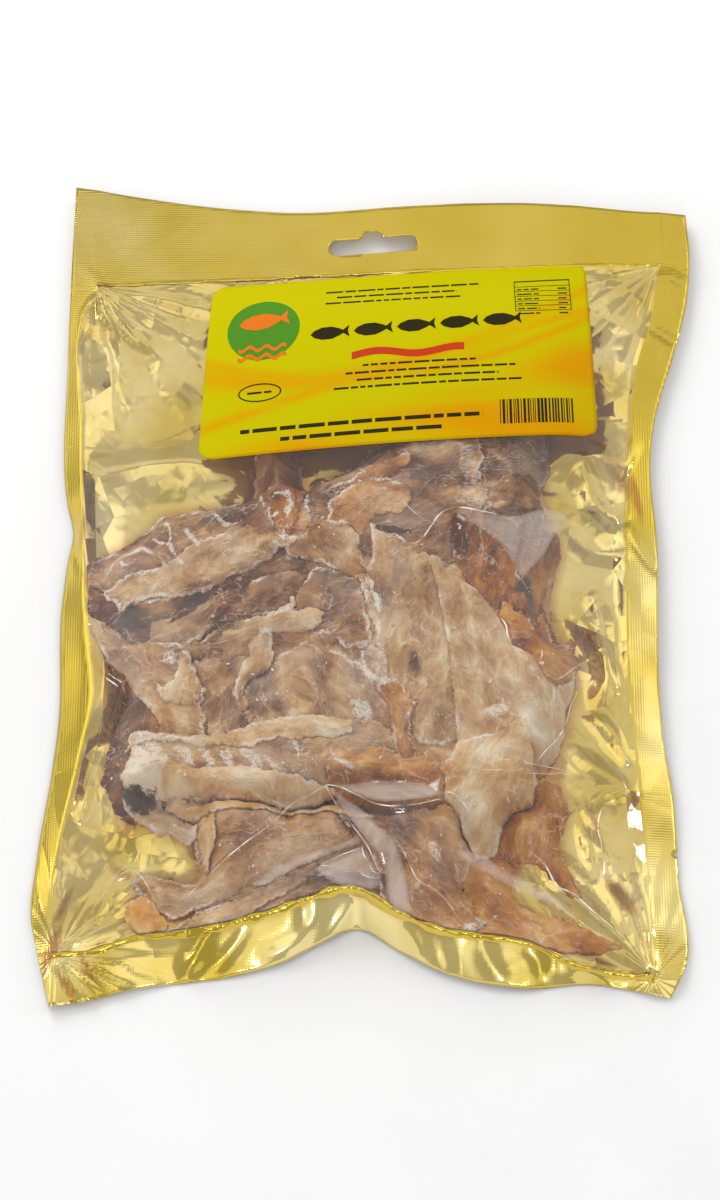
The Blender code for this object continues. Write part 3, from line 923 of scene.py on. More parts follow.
# Paler (over 0) and darker (under 0) regions: x, y, half length, half width, turn, strength.
TONES = (
    (-92, -1, 8, 4, 30, 0.30), (-50, 19, 16, 7, 15, -0.25), (-70, 1, 12, 4, 0, 0.10),
    (-78, -10, 12, 5, -5, 0.32), (-55, -3, 12, 4, 20, 0.20), (-60, -9, 10, 3, 15, -0.10),
    (-41, 5, 8, 3, 10, 0.25), (35, 31, 3.5, 14, 4, 0.42), (14, 24, 12, 7, 10, -0.20),
    (24, 33, 8, 3, 20, -0.20), (5, 37, 14, 3, 25, 0.12), (50, 42, 10, 5, 10, 0.05),
    (53, 24, 4, 2.5, 20, 0.40), (61, 32, 1.8, 4, 10, 0.55), (44, 22, 4, 1.5, 15, 0.45),
    (4, 3, 6, 12, -30, -0.02), (14, -38, 2.2, 12, 2, -0.30), (-2, -18, 3, 16, 15, 0.22),
    (0, -30, 2.5, 12, 8, 0.30), (24, -32, 3, 20, 4, 0.12), (45, -30, 14, 14, 40, 0.10),
    (53, -54, 8, 9, 0, 0.22), (40, -55, 8, 3, 15, 0.25), (-36, -45, 7, 6, 0, -0.28),
    (-30, -54, 9, 3, 0, -0.22), (-20, -46, 1.6, 10, 25, 0.30), (-10, -44, 6, 9, 10, 0.06),
    (-80, -42, 5, 6, 0, 0.22), (-68, -48, 8, 9, 0, 0.12), (-60, -62, 7, 4, 0, -0.20),
    (-60, -64, 40, 3, 2, 0.06), (-40, -77, 26, 2, -4, 0.10), (-76, -74, 8, 7, -10, 0.35),
    (-65, -73, 20, 3, -8, -0.10), (-2, -78, 20, 3, -5, -0.35), (-12, -84, 12, 4, 0, -0.2),
    (-40, -88, 12, 6, 0, -0.15), (-60, -96, 3, 10, 10, 0.2), (-33, -104, 12, 4, 25, 0.15),
    (10, -95, 8, 6, -30, -0.3), (20, -110, 6, 8, 0, -0.1), (-8, -95, 5, 8, 30, -0.3),
    (-30, -118, 12, 3, 20, 0.25), (35, -66, 12, 5, 20, 0.12), (30, -80, 8, 5, 0, 0.05),
    (38, -22, 6, 6, 0, -0.1), (45, -6, 4, 12, 5, 0.15), (31, 2, 3, 10, 10, -0.35),
    (60, -30, 5, 6, 0, -0.1), (45, -20, 4, 4, 0, 0.25), (-48, -40, 5, 6, 0, -0.08),
)
# Grey skin: x, y, half length, half width, turn, strength.
SKIN = (
    (-80, -21, 5.4, 6.8, 0, 1.4), (-58.5, -14.5, 6, 2.4, 22, 1.1), (-44, -12, 4.2, 2.2, 30, 1.1),
    (-64, -20, 8, 1.2, 32, 0.6), (-76, -82, 6.5, 4.2, -20, 1.0),
    (-67, -90, 6, 4, -25, 0.3), (6, 10, 8, 1.4, -8, 1.0),
    (52, 34, 7, 3, 10, 0.5), (42, 19, 5, 3, 0, 0.4), (-48, -25, 12, 4, 22, 0.45),
    (33, -2, 4, 2, 0, 0.4), (54, -12, 2.5, 9, 12, 0.9), (50, -10, 4, 3, 0, 0.6), (19, -4, 4, 2.5, 0, 0.3),
    (-14, 22, 3, 4, 0, 0.3), (8, -50, 3, 5, 0, 0.4),
)

# Dried whitefish: fibres run along the sheet's map, membranes and torn edges dry to white, and thin
# scraps look amber. The crests of its relief are painted paler and its hollows darker (painted
# highlight and painted shade), and a milky painted sheen of the film lies over it. Scraps of grey
# skin keep a fine mottle.
dried_flesh, tree = blank_material("air_dried_whitefish")
sheet_map = add(tree, "ShaderNodeUVMap", uv_map="sheet").outputs[0]
tone, membrane, skin, amber = (fact(name) for name in ("tone", "membrane", "skin", "amber"))
sway = add(tree, "ShaderNodeTexNoise", {0: sheet_map, "Scale": 0.08, "Detail": 2.0}, noise_dimensions="2D")
bent = add(tree, "ShaderNodeVectorMath", {0: sway.outputs["Color"], 1: (7, 7, 0), 2: sheet_map},
           operation="MULTIPLY_ADD").outputs[0]


def flesh_noise(scale, detail, roughness=0.6):
    """Noise in the fibres' own bent map: features to the millimetre along and across them."""
    grown = add(tree, "ShaderNodeMapping", {0: bent, "Scale": (*scale, 1)})
    return add(tree, "ShaderNodeTexNoise", {0: grown.outputs[0], "Scale": 1.0, "Detail": detail,
                                            "Roughness": roughness}, noise_dimensions="2D").outputs[0]


def sum_of(*terms):
    """The sum of terms, each an output or an output with its factor and the value taken off it."""
    total = None
    for term in terms:
        if isinstance(term, tuple):
            source, factor, middle = term
            term = math_of("MULTIPLY", math_of("SUBTRACT", source, middle), factor)
        total = term if total is None else math_of("ADD", total, term)
    return total


def line_mask(fold, width):
    """1 on a fold's line, 0 beyond its width."""
    return add(tree, "ShaderNodeMapRange", {0: fold, 1: 0.0, 2: width, 3: 1.0, 4: 0.0}).outputs[0]


fibre = flesh_noise((0.30, 0.75), 5.0, 0.6)
blotch = flesh_noise((0.055, 0.08), 3.0, 0.5)
grain_fine = flesh_noise((1.6, 2.2), 3.0, 0.6)
fold_wide = fold_of(flesh_noise((0.075, 0.12), 3.0, 0.5))
fold_small = fold_of(flesh_noise((0.22, 0.40), 3.0, 0.5))
fold_fine = fold_of(flesh_noise((0.55, 1.1), 3.0, 0.55))
scratch = line_mask(fold_of(flesh_noise((0.10, 1.5), 2.0, 0.5)), 0.035)
# Painted highlight: pale lines on the crests of the bump's folds.
wide_crest_highlight = line_mask(fold_wide, 0.014)
small_crest_highlight = line_mask(fold_small, 0.024)
patches = add(tree, "ShaderNodeMapRange", {0: flesh_noise((0.05, 0.07), 3.0), 1: 0.38, 2: 0.56}).outputs[0]
scuffs = add(tree, "ShaderNodeMapRange", {0: flesh_noise((0.09, 0.12), 4.0), 1: 0.54, 2: 0.66}).outputs[0]
# Painted shade: the tone darkens away from the folds' crests, in the relief's hollows.
tone_and_painted_shade = sum_of(tone, (fibre, 0.14, 0.5), (blotch, 1.0, 0.5), (grain_fine, 0.12, 0.5),
                   (fold_small, -0.2, 0.09), (fold_wide, -0.3, 0.09))
flesh_colour = add(tree, "ShaderNodeValToRGB", {0: tone_and_painted_shade})
stops = flesh_colour.color_ramp.elements
stops[0].position, stops[0].color = 0.0, linear("#5E3B23")
stops[1].position, stops[1].color = 1.0, linear("#ECDFC4")
for place, colour in ((0.2, "#8E6440"), (0.42, "#B78C5C"), (0.6, "#CDA878"), (0.8, "#DFC69C")):
    made = stops.new(place)
    made.color = linear(colour)
amber_patch = sum_of(amber, (blotch, -0.9, 0.5))
amber_clamped = add(tree, "ShaderNodeClamp", {0: amber_patch}).outputs[0]
amber_colour = blend(tree, 1.0, flesh_colour.outputs[0], linear("#F6CB7A"), blend_type="MULTIPLY")
ambered = blend(tree, amber_clamped, flesh_colour.outputs[0], amber_colour)
# The painted crest highlight, with real scratches, whitens the flesh.
crest_highlight_and_scratch = math_of("MULTIPLY", sum_of((wide_crest_highlight, 0.8, 0.0), (small_crest_highlight, 0.4, 0.0)), patches)
crest_highlight_and_scratch = sum_of(crest_highlight_and_scratch, math_of("MULTIPLY", math_of("MULTIPLY", scratch, scuffs), 0.7))
ragged = sum_of((grain_fine, 3.2, 0.5), (fibre, 2.4, 0.5), (scratch, 0.5, -2.0))
ragged = math_of("MULTIPLY", membrane, ragged)
white_part = add(tree, "ShaderNodeMapRange", {0: ragged, 1: 0.30, 2: 0.85, 4: 0.85}).outputs[0]
pale = add(tree, "ShaderNodeMath", {0: crest_highlight_and_scratch, 1: 0.6, 2: white_part}, operation="MULTIPLY_ADD",
           use_clamp=True)
# Painted sheen: a milky grey patchwork mixed into the flesh for the film's veil over it.
haze_and_painted_sheen = add(tree, "ShaderNodeMapRange", {0: flesh_noise((0.035, 0.05), 3.0, 0.55), 1: 0.45, 2: 0.7, 4: 0.38})
painted_sheen_part = math_of("MULTIPLY", haze_and_painted_sheen.outputs[0], math_of("SUBTRACT", 1.0, amber_clamped))
with_painted_sheen = blend(tree, painted_sheen_part, ambered, linear("#C6B4A4"))
whitened_and_highlighted = blend(tree, pale.outputs[0], with_painted_sheen, linear("#EAE2D6"))
mottle_colour = blend(tree, grain_fine, linear("#332A24"), linear("#6E5C4E"))
skin_share = sum_of(skin, (grain_fine, 1.4, 0.5), (fibre, 1.0, 0.5))
skin_part = add(tree, "ShaderNodeMapRange", {0: skin_share, 1: 0.3, 2: 0.72}).outputs[0]
skinned = blend(tree, skin_part, whitened_and_highlighted, mottle_colour)
flesh_relief = sum_of((fold_wide, -3.2, 0.0), (fold_small, -1.0, 0.0), (fold_fine, -0.3, 0.0),
                      (fibre, 0.1, 0.0))
shader = add(tree, "ShaderNodeBsdfPrincipled", {
    "Base Color": skinned,
    "Roughness": 0.42,
    "Specular IOR Level": 0.22,
    "Subsurface Weight": 0.3,
    "Subsurface Radius": (0.0018, 0.0010, 0.0005),
    "Subsurface Scale": 0.4,
    "Normal": bump(flesh_relief, 0.001),
})
add(tree, "ShaderNodeOutputMaterial", {0: shader.outputs[0]})


fibres = []
dice = np.random.default_rng(31)


def fray_out(line, points, height, count):
    """Note single fibres that stand off a torn rim: where each starts and ends, and its height."""
    outward = outward_of(line, 2)
    if np.sum(line[:, 0] * np.roll(line[:, 1], -1) - line[:, 1] * np.roll(line[:, 0], -1)) < 0:
        outward = -outward
    shaggy = np.clip(0.2 + layered(line[:, 0], line[:, 1], 11, 57, 2), 0.02, 1)
    for k in dice.choice(len(line), count, p=shaggy / shaggy.sum()):
        start, lean = line[k] - 0.5 * outward[k], dice.uniform(-0.9, 0.9)
        end = line[k] + dice.uniform(0.3, 1.5) * (outward[k] + lean * outward[k][::-1] * (1, -1))
        z = height[np.argmin(((points - start) ** 2).sum(axis=1))]
        fibres.append((start, end, z))


def off_seals(line):
    """A piece's torn outline, moved in where it would run into the seals."""
    line[:, 1] = np.maximum(line[:, 1], curve_through(BOTTOM_SEAL, line[:, 0]) + SEAL_CLEARANCE)
    line[:, 0] = np.clip(line[:, 0], curve_through(LEFT_SEAL, line[:, 1]) + SEAL_CLEARANCE,
                         curve_through(RIGHT_SEAL, line[:, 1]) - SEAL_CLEARANCE)
    return line


def with_tones(tones, x, y):
    """The tone of a piece with the paler and darker regions that cross it."""
    for spot_x, spot_y, long, wide, angle, strength in TONES:
        near = np.hypot(x - spot_x, y - spot_y) < SPOT_REACH * long + SPOT_REACH * wide
        tones[near] += strength * spot(x[near], y[near], spot_x, spot_y, long, wide, angle)
    return tones


def skin_at(x, y):
    """How much grey skin a piece still has at its points."""
    grey = np.zeros(len(x))
    for spot_x, spot_y, long, wide, angle, strength in SKIN:
        grey = np.maximum(grey, 1.3 * strength * spot(x, y, spot_x, spot_y, long, wide, angle, 90))
    return grey


patch_rings = [(torn(edge, 0.6, 3), MEMBRANE_MOST) for edge in MEMBRANE_PATCHES]
patch_rings += [(torn(edge, 0.6, 3), MILKY_MOST) for edge in MILKY_PATCHES]


def with_membranes(white, points):
    """The white of a piece with the membranes that cross it laid over it."""
    x, y = points.T
    for route, width in MEMBRANE_LINES:
        white = np.maximum(white, near_route(x, y, route, width))
    for ring, most in patch_rings:
        reach = np.abs(ring - ring.mean(axis=0)).max() + 2
        near = np.hypot(*(points - ring.mean(axis=0)).T) < 1.5 * reach
        signed = depth_inside(ring, points[near]) * np.where(inside_of(ring, x[near], y[near]), 1, -1)
        white[near] = np.maximum(white[near], np.clip(0.45 + signed / 2.5, 0, most))
    return white


def fillet(name, outline, level, tone=0.5, turn=0.0, roll=0.0, warp=0.9, crumple=0.9, fray=0.8,
           lip=0.0, amber=0.0, rim=0.8):
    """One torn piece in its outline, laid on the pile at a level under the pocket's crown.

    roll rounds its edges down, warp waves it, crumple folds it sharply, lip turns its edge up.
    """
    global pile
    seed = sum(map(ord, name)) % 997
    line = off_seals(torn(outline, fray, seed))
    bm, points = cut_sheet(line, FILLET_CELL)
    x, y = points.T
    inset = depth_inside(line, points)
    along, across = turned(x, y, math.radians(turn))
    wrinkle = folded(along / 1.8, across, WRINKLE_SIZE, seed + 13, 3)
    form = warp * layered(along, across, WARP_SIZE, seed + 3, 3) + crumple * (wrinkle - 0.35)
    shelf = FLAKES * layered(along / 2.2, across, FLAKE_SIZE, seed + 21, 4)
    step = shelf - np.floor(shelf)
    form = form + FLAKE_RISE * (np.floor(shelf) + np.clip(step * 6, 0, 1)) / FLAKES
    form = form + roll * (1 - np.exp(-inset / ROLL_WIDTH) - 0.5) + lip * np.exp(-inset / LIP_WIDTH)
    under = read_map(relaxed(spread(pile, 1), 2), x, y) + FILLET_THICK
    droop = 0.9 * (1 - np.clip(read_map(pile_inset, x, y) / PILE_DROOP, 0, 1)) ** 1.5
    lie = (crown(x, y) + level) * (1 - droop) + (foil_top(x, y) + DROOP_CLEARANCE) * droop
    height = np.maximum(lie + form, under)
    height -= np.exp(-inset / RIM_REACH) * (height - under)
    # Painted highlight and shade: the tone rises on the crumples' ridges and falls in their hollows.
    tones = tone + 0.34 * (wrinkle - 0.35) + 0.16 * (step - 0.5)
    worn = np.clip(0.35 + 1.5 * layered(x, y, 9, seed + 31, 3), 0, 1)
    white = rim * worn * np.clip(1.3 - inset / 1.4, 0, 1)
    white = np.maximum(white, 0.5 * worn * np.clip(1 - np.abs(step - 0.14) / 0.12, 0, 1))
    # Painted highlight: white along the crumples' crests.
    white = np.maximum(white, 0.6 * worn * np.clip(5 * (wrinkle - 0.74), 0, 1))
    facts = {
        "tone": with_tones(tones, x, y),
        "membrane": with_membranes(white, points),
        "skin": skin_at(x, y),
        "amber": np.full(len(x), amber),
        "skirt": np.clip(height - read_map(-spread(-pile, 1), x, y) + 0.1, FILLET_THICK, SKIRT_MOST),
    }
    uv = np.stack([along, across + 31 * (seed % 13)], axis=1)
    fray_out(line, points, height, int(len(line) * FIBRES_TO_POINT))
    mesh = finish_sheet(name, bm, points, height, uv, facts, dried_flesh)
    show(name, mesh, "dried_fish")
    rows = np.rint((y - PILE_LOW[1]) / PILE_CELL).astype(int)
    columns = np.rint((x - PILE_LOW[0]) / PILE_CELL).astype(int)
    top = np.full(pile.shape, -1.0)
    np.maximum.at(top, (rows, columns), height)
    pile = np.maximum(pile, top)


# The pile from the bottom up: name, outline, level under the crown, and how the piece is made.
FILLETS = (
    ("bed_upper", (
        (-91, -8), (-83, 5), (-72, 15), (-59, 22), (-25, 32), (10, 52), (34, 56), (59, 58), (58, 23),
        (63, 8), (61, -14), (64, -29), (56, -44), (9, -51), (-24, -33), (-41, -37), (-65, -37),
        (-84, -29), (-93, -16),
    ), -3.6, dict(tone=0.58, turn=20, warp=1.6, amber=0.54)),
    ("bed_middle", (
        (-94, -20), (-82, -29), (-58, -30), (-24, -23), (9, -30), (62, -32), (67, -43), (63, -63),
        (54, -77), (36, -94), (9, -86), (-24, -83), (-80, -81), (-85, -82), (-89, -73), (-84, -58),
        (-81, -47), (-90, -32),
    ), -4.2, dict(tone=0.41, turn=-10, warp=1.6, amber=0.55)),
    ("bed_lower", (
        (-56, -85), (-11, -85), (26, -87), (34, -102), (29, -113), (33, -122), (32, -128), (16, -125),
        (4, -119), (-6, -116), (-24, -121), (-64, -128), (-58, -120), (-52, -112), (-53, -103),
        (-57, -95),
    ), -3.4, dict(tone=0.57, turn=10, warp=1.6, amber=0.36)),
    ("left_under", (
        (-84, -38), (-78, -47), (-72, -53), (-72, -62), (-80, -68), (-82, -76), (-81, -81), (-83, -85),
        (-86, -85), (-91, -75), (-90, -70), (-88, -61), (-84, -47),
    ), -3.5, dict(tone=0.03, turn=75, crumple=0.3, rim=0.2, amber=1.00)),
    ("orange_scrap", (
        (41, -99), (42, -91), (45, -86), (51, -84), (54, -80), (54, -73), (59, -73), (63, -74),
        (65, -79), (66, -85), (63, -95), (64, -102), (70, -115), (66, -113), (61, -107), (55, -103),
        (49, -102),
    ), -5.0, dict(tone=0.50, turn=80, amber=1.00, rim=0.1)),
    ("amber_scrap", (
        (29, -103), (36, -100), (42, -100), (49, -102), (47, -106), (46, -112), (49, -118), (65, -123),
        (82, -132), (75, -134), (62, -134), (35, -130), (32, -119),
    ), -5.5, dict(tone=0.58, turn=-30, amber=1.00, rim=0.2)),
    ("dark_low", (
        (-65, -125), (-57, -121), (-44, -117), (-30, -112), (-17, -109), (-7, -108), (4, -110),
        (6, -121), (-1, -121), (-6, -117), (-24, -122), (-55, -129), (-63, -130),
    ), -3.5, dict(tone=0.03, turn=15, amber=0.00)),
    ("speckled_skin", (
        (35, 58), (55, 61), (60, 60), (62, 41), (58, 33), (61, 26), (53, 12), (45, 5), (37, 7), (37, 18),
        (36, 30),
    ), -2.6, dict(tone=0.12, turn=10, fray=0.6, amber=0.23)),
    ("outer_right", (
        (52, 15), (58, 19), (64, 19), (66, 15), (63, 2), (58, -11), (63, -21), (63, -29), (61, -32),
        (57, -29), (53, -22), (48, 0),
    ), -3.0, dict(tone=0.19, turn=75, amber=1.00)),
    ("upper_sheet", (
        (-23, 22), (-23, 30), (-21, 35), (-8, 36), (-1, 50), (10, 54), (14, 56), (16, 58), (33, 58),
        (35, 54), (38, 40), (37, 38), (37, 35), (37, 32), (38, 31), (37, 29), (40, 27), (38, 25),
        (41, 22), (39, 20), (39, 18), (38, 11), (28, 0), (20, -4), (8, 0), (-11, 3), (-21, 11),
    ), -1.2, dict(tone=0.20, turn=20, fray=0.9, amber=0.18)),
    ("tan_nub", (
        (-18, 24), (-8, 29), (-2, 34), (12, 40), (14, 37), (10, 34), (7, 31), (-1, 28), (-12, 22),
    ), -0.8, dict(tone=0.18, turn=25, roll=1.0, amber=0.55)),
    ("dark_under", (
        (-98, -5), (-93, -6), (-86, -13), (-68, -14), (-57, -11), (-30, 4), (-14, 0), (-9, -8),
        (-14, -15), (-23, -17), (-27, -20), (-45, -26), (-61, -34), (-70, -37), (-78, -36), (-86, -31),
        (-92, -21), (-97, -16),
    ), -2.4, dict(tone=0.03, turn=22, amber=0.56)),
    ("skin_strip", (
        (-75, -23), (-70, -22), (-58, -15), (-51, -12), (-43, -11), (-39, -8), (-30, -5), (-24, -6),
        (-23, -10), (-25, -15), (-28, -19), (-33, -21), (-45, -21), (-55, -26), (-65, -33), (-69, -34),
        (-73, -33), (-75, -30), (-74, -26),
    ), -1.2, dict(tone=0.25, turn=28, roll=1.2, amber=0.11)),
    ("grey_strip", (
        (-66, -33), (-59, -30), (-47, -23), (-37, -22), (-27, -19), (-28, -23), (-36, -28), (-39, -32),
        (-41, -36), (-50, -37),
    ), -1.4, dict(tone=0.43, turn=25, roll=0.8)),
    ("upper_strip", (
        (-41, 30), (-41, 47), (-39, 50), (-36, 51), (-33, 50), (-29, 51), (-26, 50), (-23, 28),
        (-26, 14), (-28, 9), (-31, 5), (-35, 7), (-38, 13),
    ), -1.4, dict(tone=0.26, turn=85, amber=1.00)),
    ("flap", (
        (-100, -1), (-99, 2), (-79, 17), (-73, 24), (-40, 30), (-36, 22), (-34, 13), (-31, 7), (-37, 5),
        (-48, 3), (-58, -2), (-70, -7), (-93, -6), (-98, -5),
    ), -0.8, dict(tone=0.25, turn=25, fray=0.6, amber=0.20)),
    ("knot_sheet", (
        (-30, 5), (-28, 8), (-21, 13), (-14, 13), (-8, 11), (-4, 8), (-5, 3), (2, -10), (9, -30),
        (5, -32), (2, -30), (-2, -23), (-5, -9), (-9, -6), (-20, -1), (-28, 1),
    ), -1.0, dict(tone=0.37, turn=-40, amber=0.36)),
    ("pale_fold", (
        (-92, -6), (-84, -4), (-75, -3), (-71, -2), (-60, 6), (-51, 9), (-47, 11), (-42, 12), (-29, 8),
        (-24, 8), (-41, -4), (-45, -5), (-59, -12), (-68, -14), (-72, -13), (-76, -13), (-80, -15),
        (-83, -15), (-85, -18), (-87, -12), (-90, -11),
    ), 0.0, dict(tone=0.34, turn=18, roll=0.8, fray=0.9)),
    ("back_sheet", (
        (-61, -36), (-56, -35), (-50, -37), (-43, -36), (-40, -40), (-41, -55), (-43, -63), (-54, -65),
        (-56, -58), (-57, -51), (-57, -48),
    ), -1.8, dict(tone=0.25, turn=80)),
    ("centre_sheet", (
        (-26, -17), (-22, -7), (-19, -4), (-14, -5), (-9, -7), (-5, -8), (0, -30), (-3, -33), (-8, -32),
        (-17, -28), (-24, -25), (-27, -22),
    ), -1.6, dict(tone=0.26, turn=10, amber=0.13)),
    ("left_flap", (
        (-99, -16), (-92, -19), (-88, -22), (-84, -27), (-82, -29), (-65, -31), (-63, -33), (-59, -39),
        (-59, -44), (-57, -48), (-56, -51), (-58, -52), (-55, -58), (-57, -59), (-55, -65), (-61, -66),
        (-67, -65), (-73, -55), (-81, -43), (-84, -37), (-88, -34), (-91, -30),
    ), -0.8, dict(tone=0.43, turn=-50, fray=0.45, amber=0.19)),
    ("left_peak", (
        (-65, -34), (-63, -33), (-62, -34), (-60, -39), (-59, -43), (-56, -48), (-56, -50), (-58, -52),
        (-61, -53), (-68, -52), (-71, -50), (-72, -47), (-72, -45), (-70, -47), (-66, -44),
    ), -0.2, dict(tone=0.50, turn=80, lip=0.8)),
    ("middle_sheet", (
        (-40, -44), (-37, -42), (-33, -37), (-29, -34), (-20, -28), (-17, -27), (-13, -28), (-9, -32),
        (1, -35), (5, -40), (11, -51), (11, -57), (9, -61), (4, -63), (-9, -61), (-17, -60), (-31, -61),
        (-37, -59), (-41, -56), (-43, -51), (-42, -47),
    ), -0.8, dict(tone=0.37, turn=-60, warp=1.4)),
    ("white_spike", (
        (-38, -27), (-36, -25), (-36, -22), (-29, -19), (-27, -15), (-26, -17), (-27, -20), (-24, -19),
        (-20, -19), (-16, -21), (-17, -24), (-20, -26), (-30, -26), (-37, -28),
    ), -0.4, dict(tone=0.59, turn=20, rim=1.0)),
    ("curl_strip", (
        (-37, -27), (-35, -26), (-34, -28), (-34, -32), (-33, -34), (-35, -40), (-40, -43), (-42, -45),
        (-43, -48), (-41, -56), (-39, -58), (-35, -59), (-34, -61), (-38, -61), (-43, -56), (-45, -53),
        (-46, -48), (-43, -37), (-41, -34), (-42, -32), (-41, -29),
    ), 0.0, dict(tone=0.47, turn=70, roll=1.0, amber=0.11)),
    ("inner_right", (
        (28, 17), (38, 12), (49, 4), (49, -2), (54, -12), (51, -16), (46, -18), (41, -19), (38, -17),
        (34, -12), (29, -1), (27, 5), (27, 12),
    ), -1.6, dict(tone=0.20, turn=75, amber=1.00)),
    ("tan_knot", (
        (-15, 19), (-14, 22), (-12, 22), (-10, 24), (-1, 30), (6, 30), (11, 27), (13, 24), (13, 21),
        (10, 17), (8, 16), (1, 16), (-4, 8), (-8, 12), (-13, 12), (-15, 13), (-14, 16),
    ), 0.0, dict(tone=0.47, turn=20, roll=2.0, warp=1.4, amber=0.56)),
    ("curled_flap", (
        (43, -20), (45, -16), (47, -17), (49, -19), (50, -18), (54, -24), (57, -23), (56, -19),
        (58, -16), (60, -23), (61, -26), (63, -27), (64, -25), (66, -23), (67, -26), (68, -21),
        (69, -27), (71, -32), (68, -38), (63, -42), (59, -44), (49, -40), (46, -33),
    ), -1.0, dict(tone=0.43, turn=10, roll=1.2, amber=1.00, fray=0.9)),
    ("ridged_sheet", (
        (-1, 12), (8, 8), (16, 1), (18, 2), (21, 0), (28, -32), (29, -55), (29, -65), (23, -67),
        (15, -66), (12, -53), (9, -49), (7, -44), (1, -25), (-5, -7), (-2, -6), (0, -1), (1, 5),
    ), -0.5, dict(tone=0.47, turn=85, crumple=1.2)),
    ("wide_sheet", (
        (19, -1), (20, 1), (23, 0), (25, -4), (34, -10), (39, -16), (41, -18), (47, -31), (53, -34),
        (59, -43), (62, -43), (69, -37), (69, -41), (66, -47), (65, -57), (63, -61), (62, -65),
        (55, -72), (53, -76), (47, -77), (41, -78), (34, -74), (29, -69), (28, -64), (28, -58),
        (26, -33), (21, -6),
    ), 0.2, dict(tone=0.57, turn=-70, crumple=0.4, fray=0.38)),
    ("lower_sheet", (
        (-60, -85), (-52, -84), (-27, -86), (-16, -85), (-3, -99), (-27, -109), (-34, -112), (-42, -114),
        (-49, -117), (-60, -120), (-66, -123), (-74, -118), (-80, -109), (-78, -107), (-73, -106),
        (-63, -110), (-59, -109), (-58, -105),
    ), -1.4, dict(tone=0.41, turn=15, warp=1.4, amber=0.20)),
    ("corner_scrap", (
        (-77, -114), (-73, -117), (-68, -125), (-70, -128), (-74, -130), (-77, -128), (-81, -124),
        (-82, -120), (-81, -116),
    ), -1.6, dict(tone=0.83, turn=-50, amber=0.97)),
    ("upright_strip", (
        (-59, -92), (-57, -89), (-53, -90), (-52, -96), (-54, -107), (-56, -108), (-56, -105),
        (-58, -97),
    ), -0.8, dict(tone=0.72, turn=85, roll=0.8, amber=0.64)),
    ("low_strip", (
        (-70, -129), (-66, -126), (-55, -121), (-51, -120), (-36, -114), (-24, -108), (-17, -106),
        (-19, -109), (-23, -112), (-40, -122), (-55, -128), (-63, -129),
    ), -1.0, dict(tone=0.43, turn=25, crumple=1.2)),
    ("small_skin", (
        (-84, -80), (-82, -79), (-74, -79), (-71, -81), (-71, -83), (-68, -85), (-64, -87), (-59, -91),
        (-59, -94), (-62, -96), (-67, -93), (-69, -93), (-71, -94), (-75, -90), (-79, -88), (-81, -86),
        (-83, -83),
    ), -1.2, dict(tone=0.73, turn=-25, rim=0.9, amber=0.02)),
    ("bottom_sheet", (
        (-9, -86), (9, -87), (16, -88), (23, -86), (28, -87), (30, -90), (31, -95), (35, -102),
        (31, -107), (29, -112), (33, -116), (34, -121), (36, -124), (38, -125), (32, -130), (16, -126),
        (6, -121), (3, -119), (1, -107), (-9, -94), (-11, -89),
    ), -1.2, dict(tone=0.38, turn=-40, warp=1.3, amber=0.57)),
    ("lower_roll_sheet", (
        (-69, -80), (-44, -83), (-27, -85), (-11, -83), (0, -87), (0, -90), (-7, -90), (-17, -88),
        (-27, -89), (-47, -88), (-55, -88), (-64, -87), (-70, -84),
    ), -1.2, dict(tone=0.93, turn=-2, amber=0.52)),
    ("long_roll", (
        (-81, -64), (-81, -62), (-79, -61), (-64, -64), (-58, -64), (-53, -64), (-35, -59), (-19, -58),
        (3, -60), (7, -62), (9, -66), (8, -71), (4, -74), (-9, -76), (-18, -83), (-22, -84), (-25, -85),
        (-34, -84), (-40, -84), (-52, -83), (-61, -81), (-82, -79), (-84, -75), (-81, -73), (-83, -72),
        (-81, -71), (-81, -68), (-80, -67), (-81, -66), (-83, -67),
    ), -1.4, dict(tone=0.41, turn=-4)),
    ("orange_strip", (
        (2, -47), (5, -44), (8, -45), (15, -53), (13, -55), (12, -58), (14, -69), (13, -74), (10, -73),
        (8, -69), (5, -53), (3, -51),
    ), -0.2, dict(tone=0.44, turn=-70, roll=1.0, amber=0.81)),
    ("centre_knot", (
        (-15, -72), (-11, -69), (-5, -71), (2, -69), (7, -69), (11, -73), (14, -72), (19, -69),
        (21, -71), (23, -75), (25, -79), (22, -83), (16, -85), (9, -85), (-2, -82), (-7, -83),
        (-12, -82), (-15, -78),
    ), -0.6, dict(tone=0.61, turn=0, roll=1.2, crumple=1.4, amber=0.76)),
    ("roll_top", (
        (-81, -64), (-81, -62), (-79, -61), (-64, -64), (-58, -64), (-53, -64), (-35, -59), (-27, -58),
        (-7, -59), (-7, -63), (-12, -65), (-18, -65), (-27, -66), (-32, -64), (-37, -67), (-41, -68),
        (-51, -67), (-57, -67), (-74, -64), (-80, -66),
    ), 0.2, dict(tone=0.69, turn=-2, roll=2.0, crumple=0.5, amber=0.25)),
    ("roll_low", (
        (-84, -75), (-81, -73), (-83, -72), (-81, -71), (-81, -68), (-79, -67), (-73, -70), (-68, -71),
        (-63, -74), (-59, -75), (-46, -75), (-29, -77), (-17, -79), (-12, -81), (-16, -83), (-21, -84),
        (-25, -85), (-34, -84), (-46, -84), (-61, -81), (-78, -80), (-82, -79),
    ), 0.4, dict(tone=0.85, turn=-6, roll=2.6, crumple=0.6, amber=0.40)),
    ("right_flap", (
        (22, -74), (24, -72), (26, -71), (29, -66), (43, -63), (47, -59), (51, -58), (55, -75),
        (54, -84), (49, -85), (46, -87), (44, -90), (41, -99), (39, -101), (36, -102), (34, -103),
        (32, -98), (30, -94), (29, -90), (25, -85), (24, -83), (25, -78),
    ), 0.2, dict(tone=0.73, turn=50, fray=0.52, crumple=0.5, amber=0.30)),
)

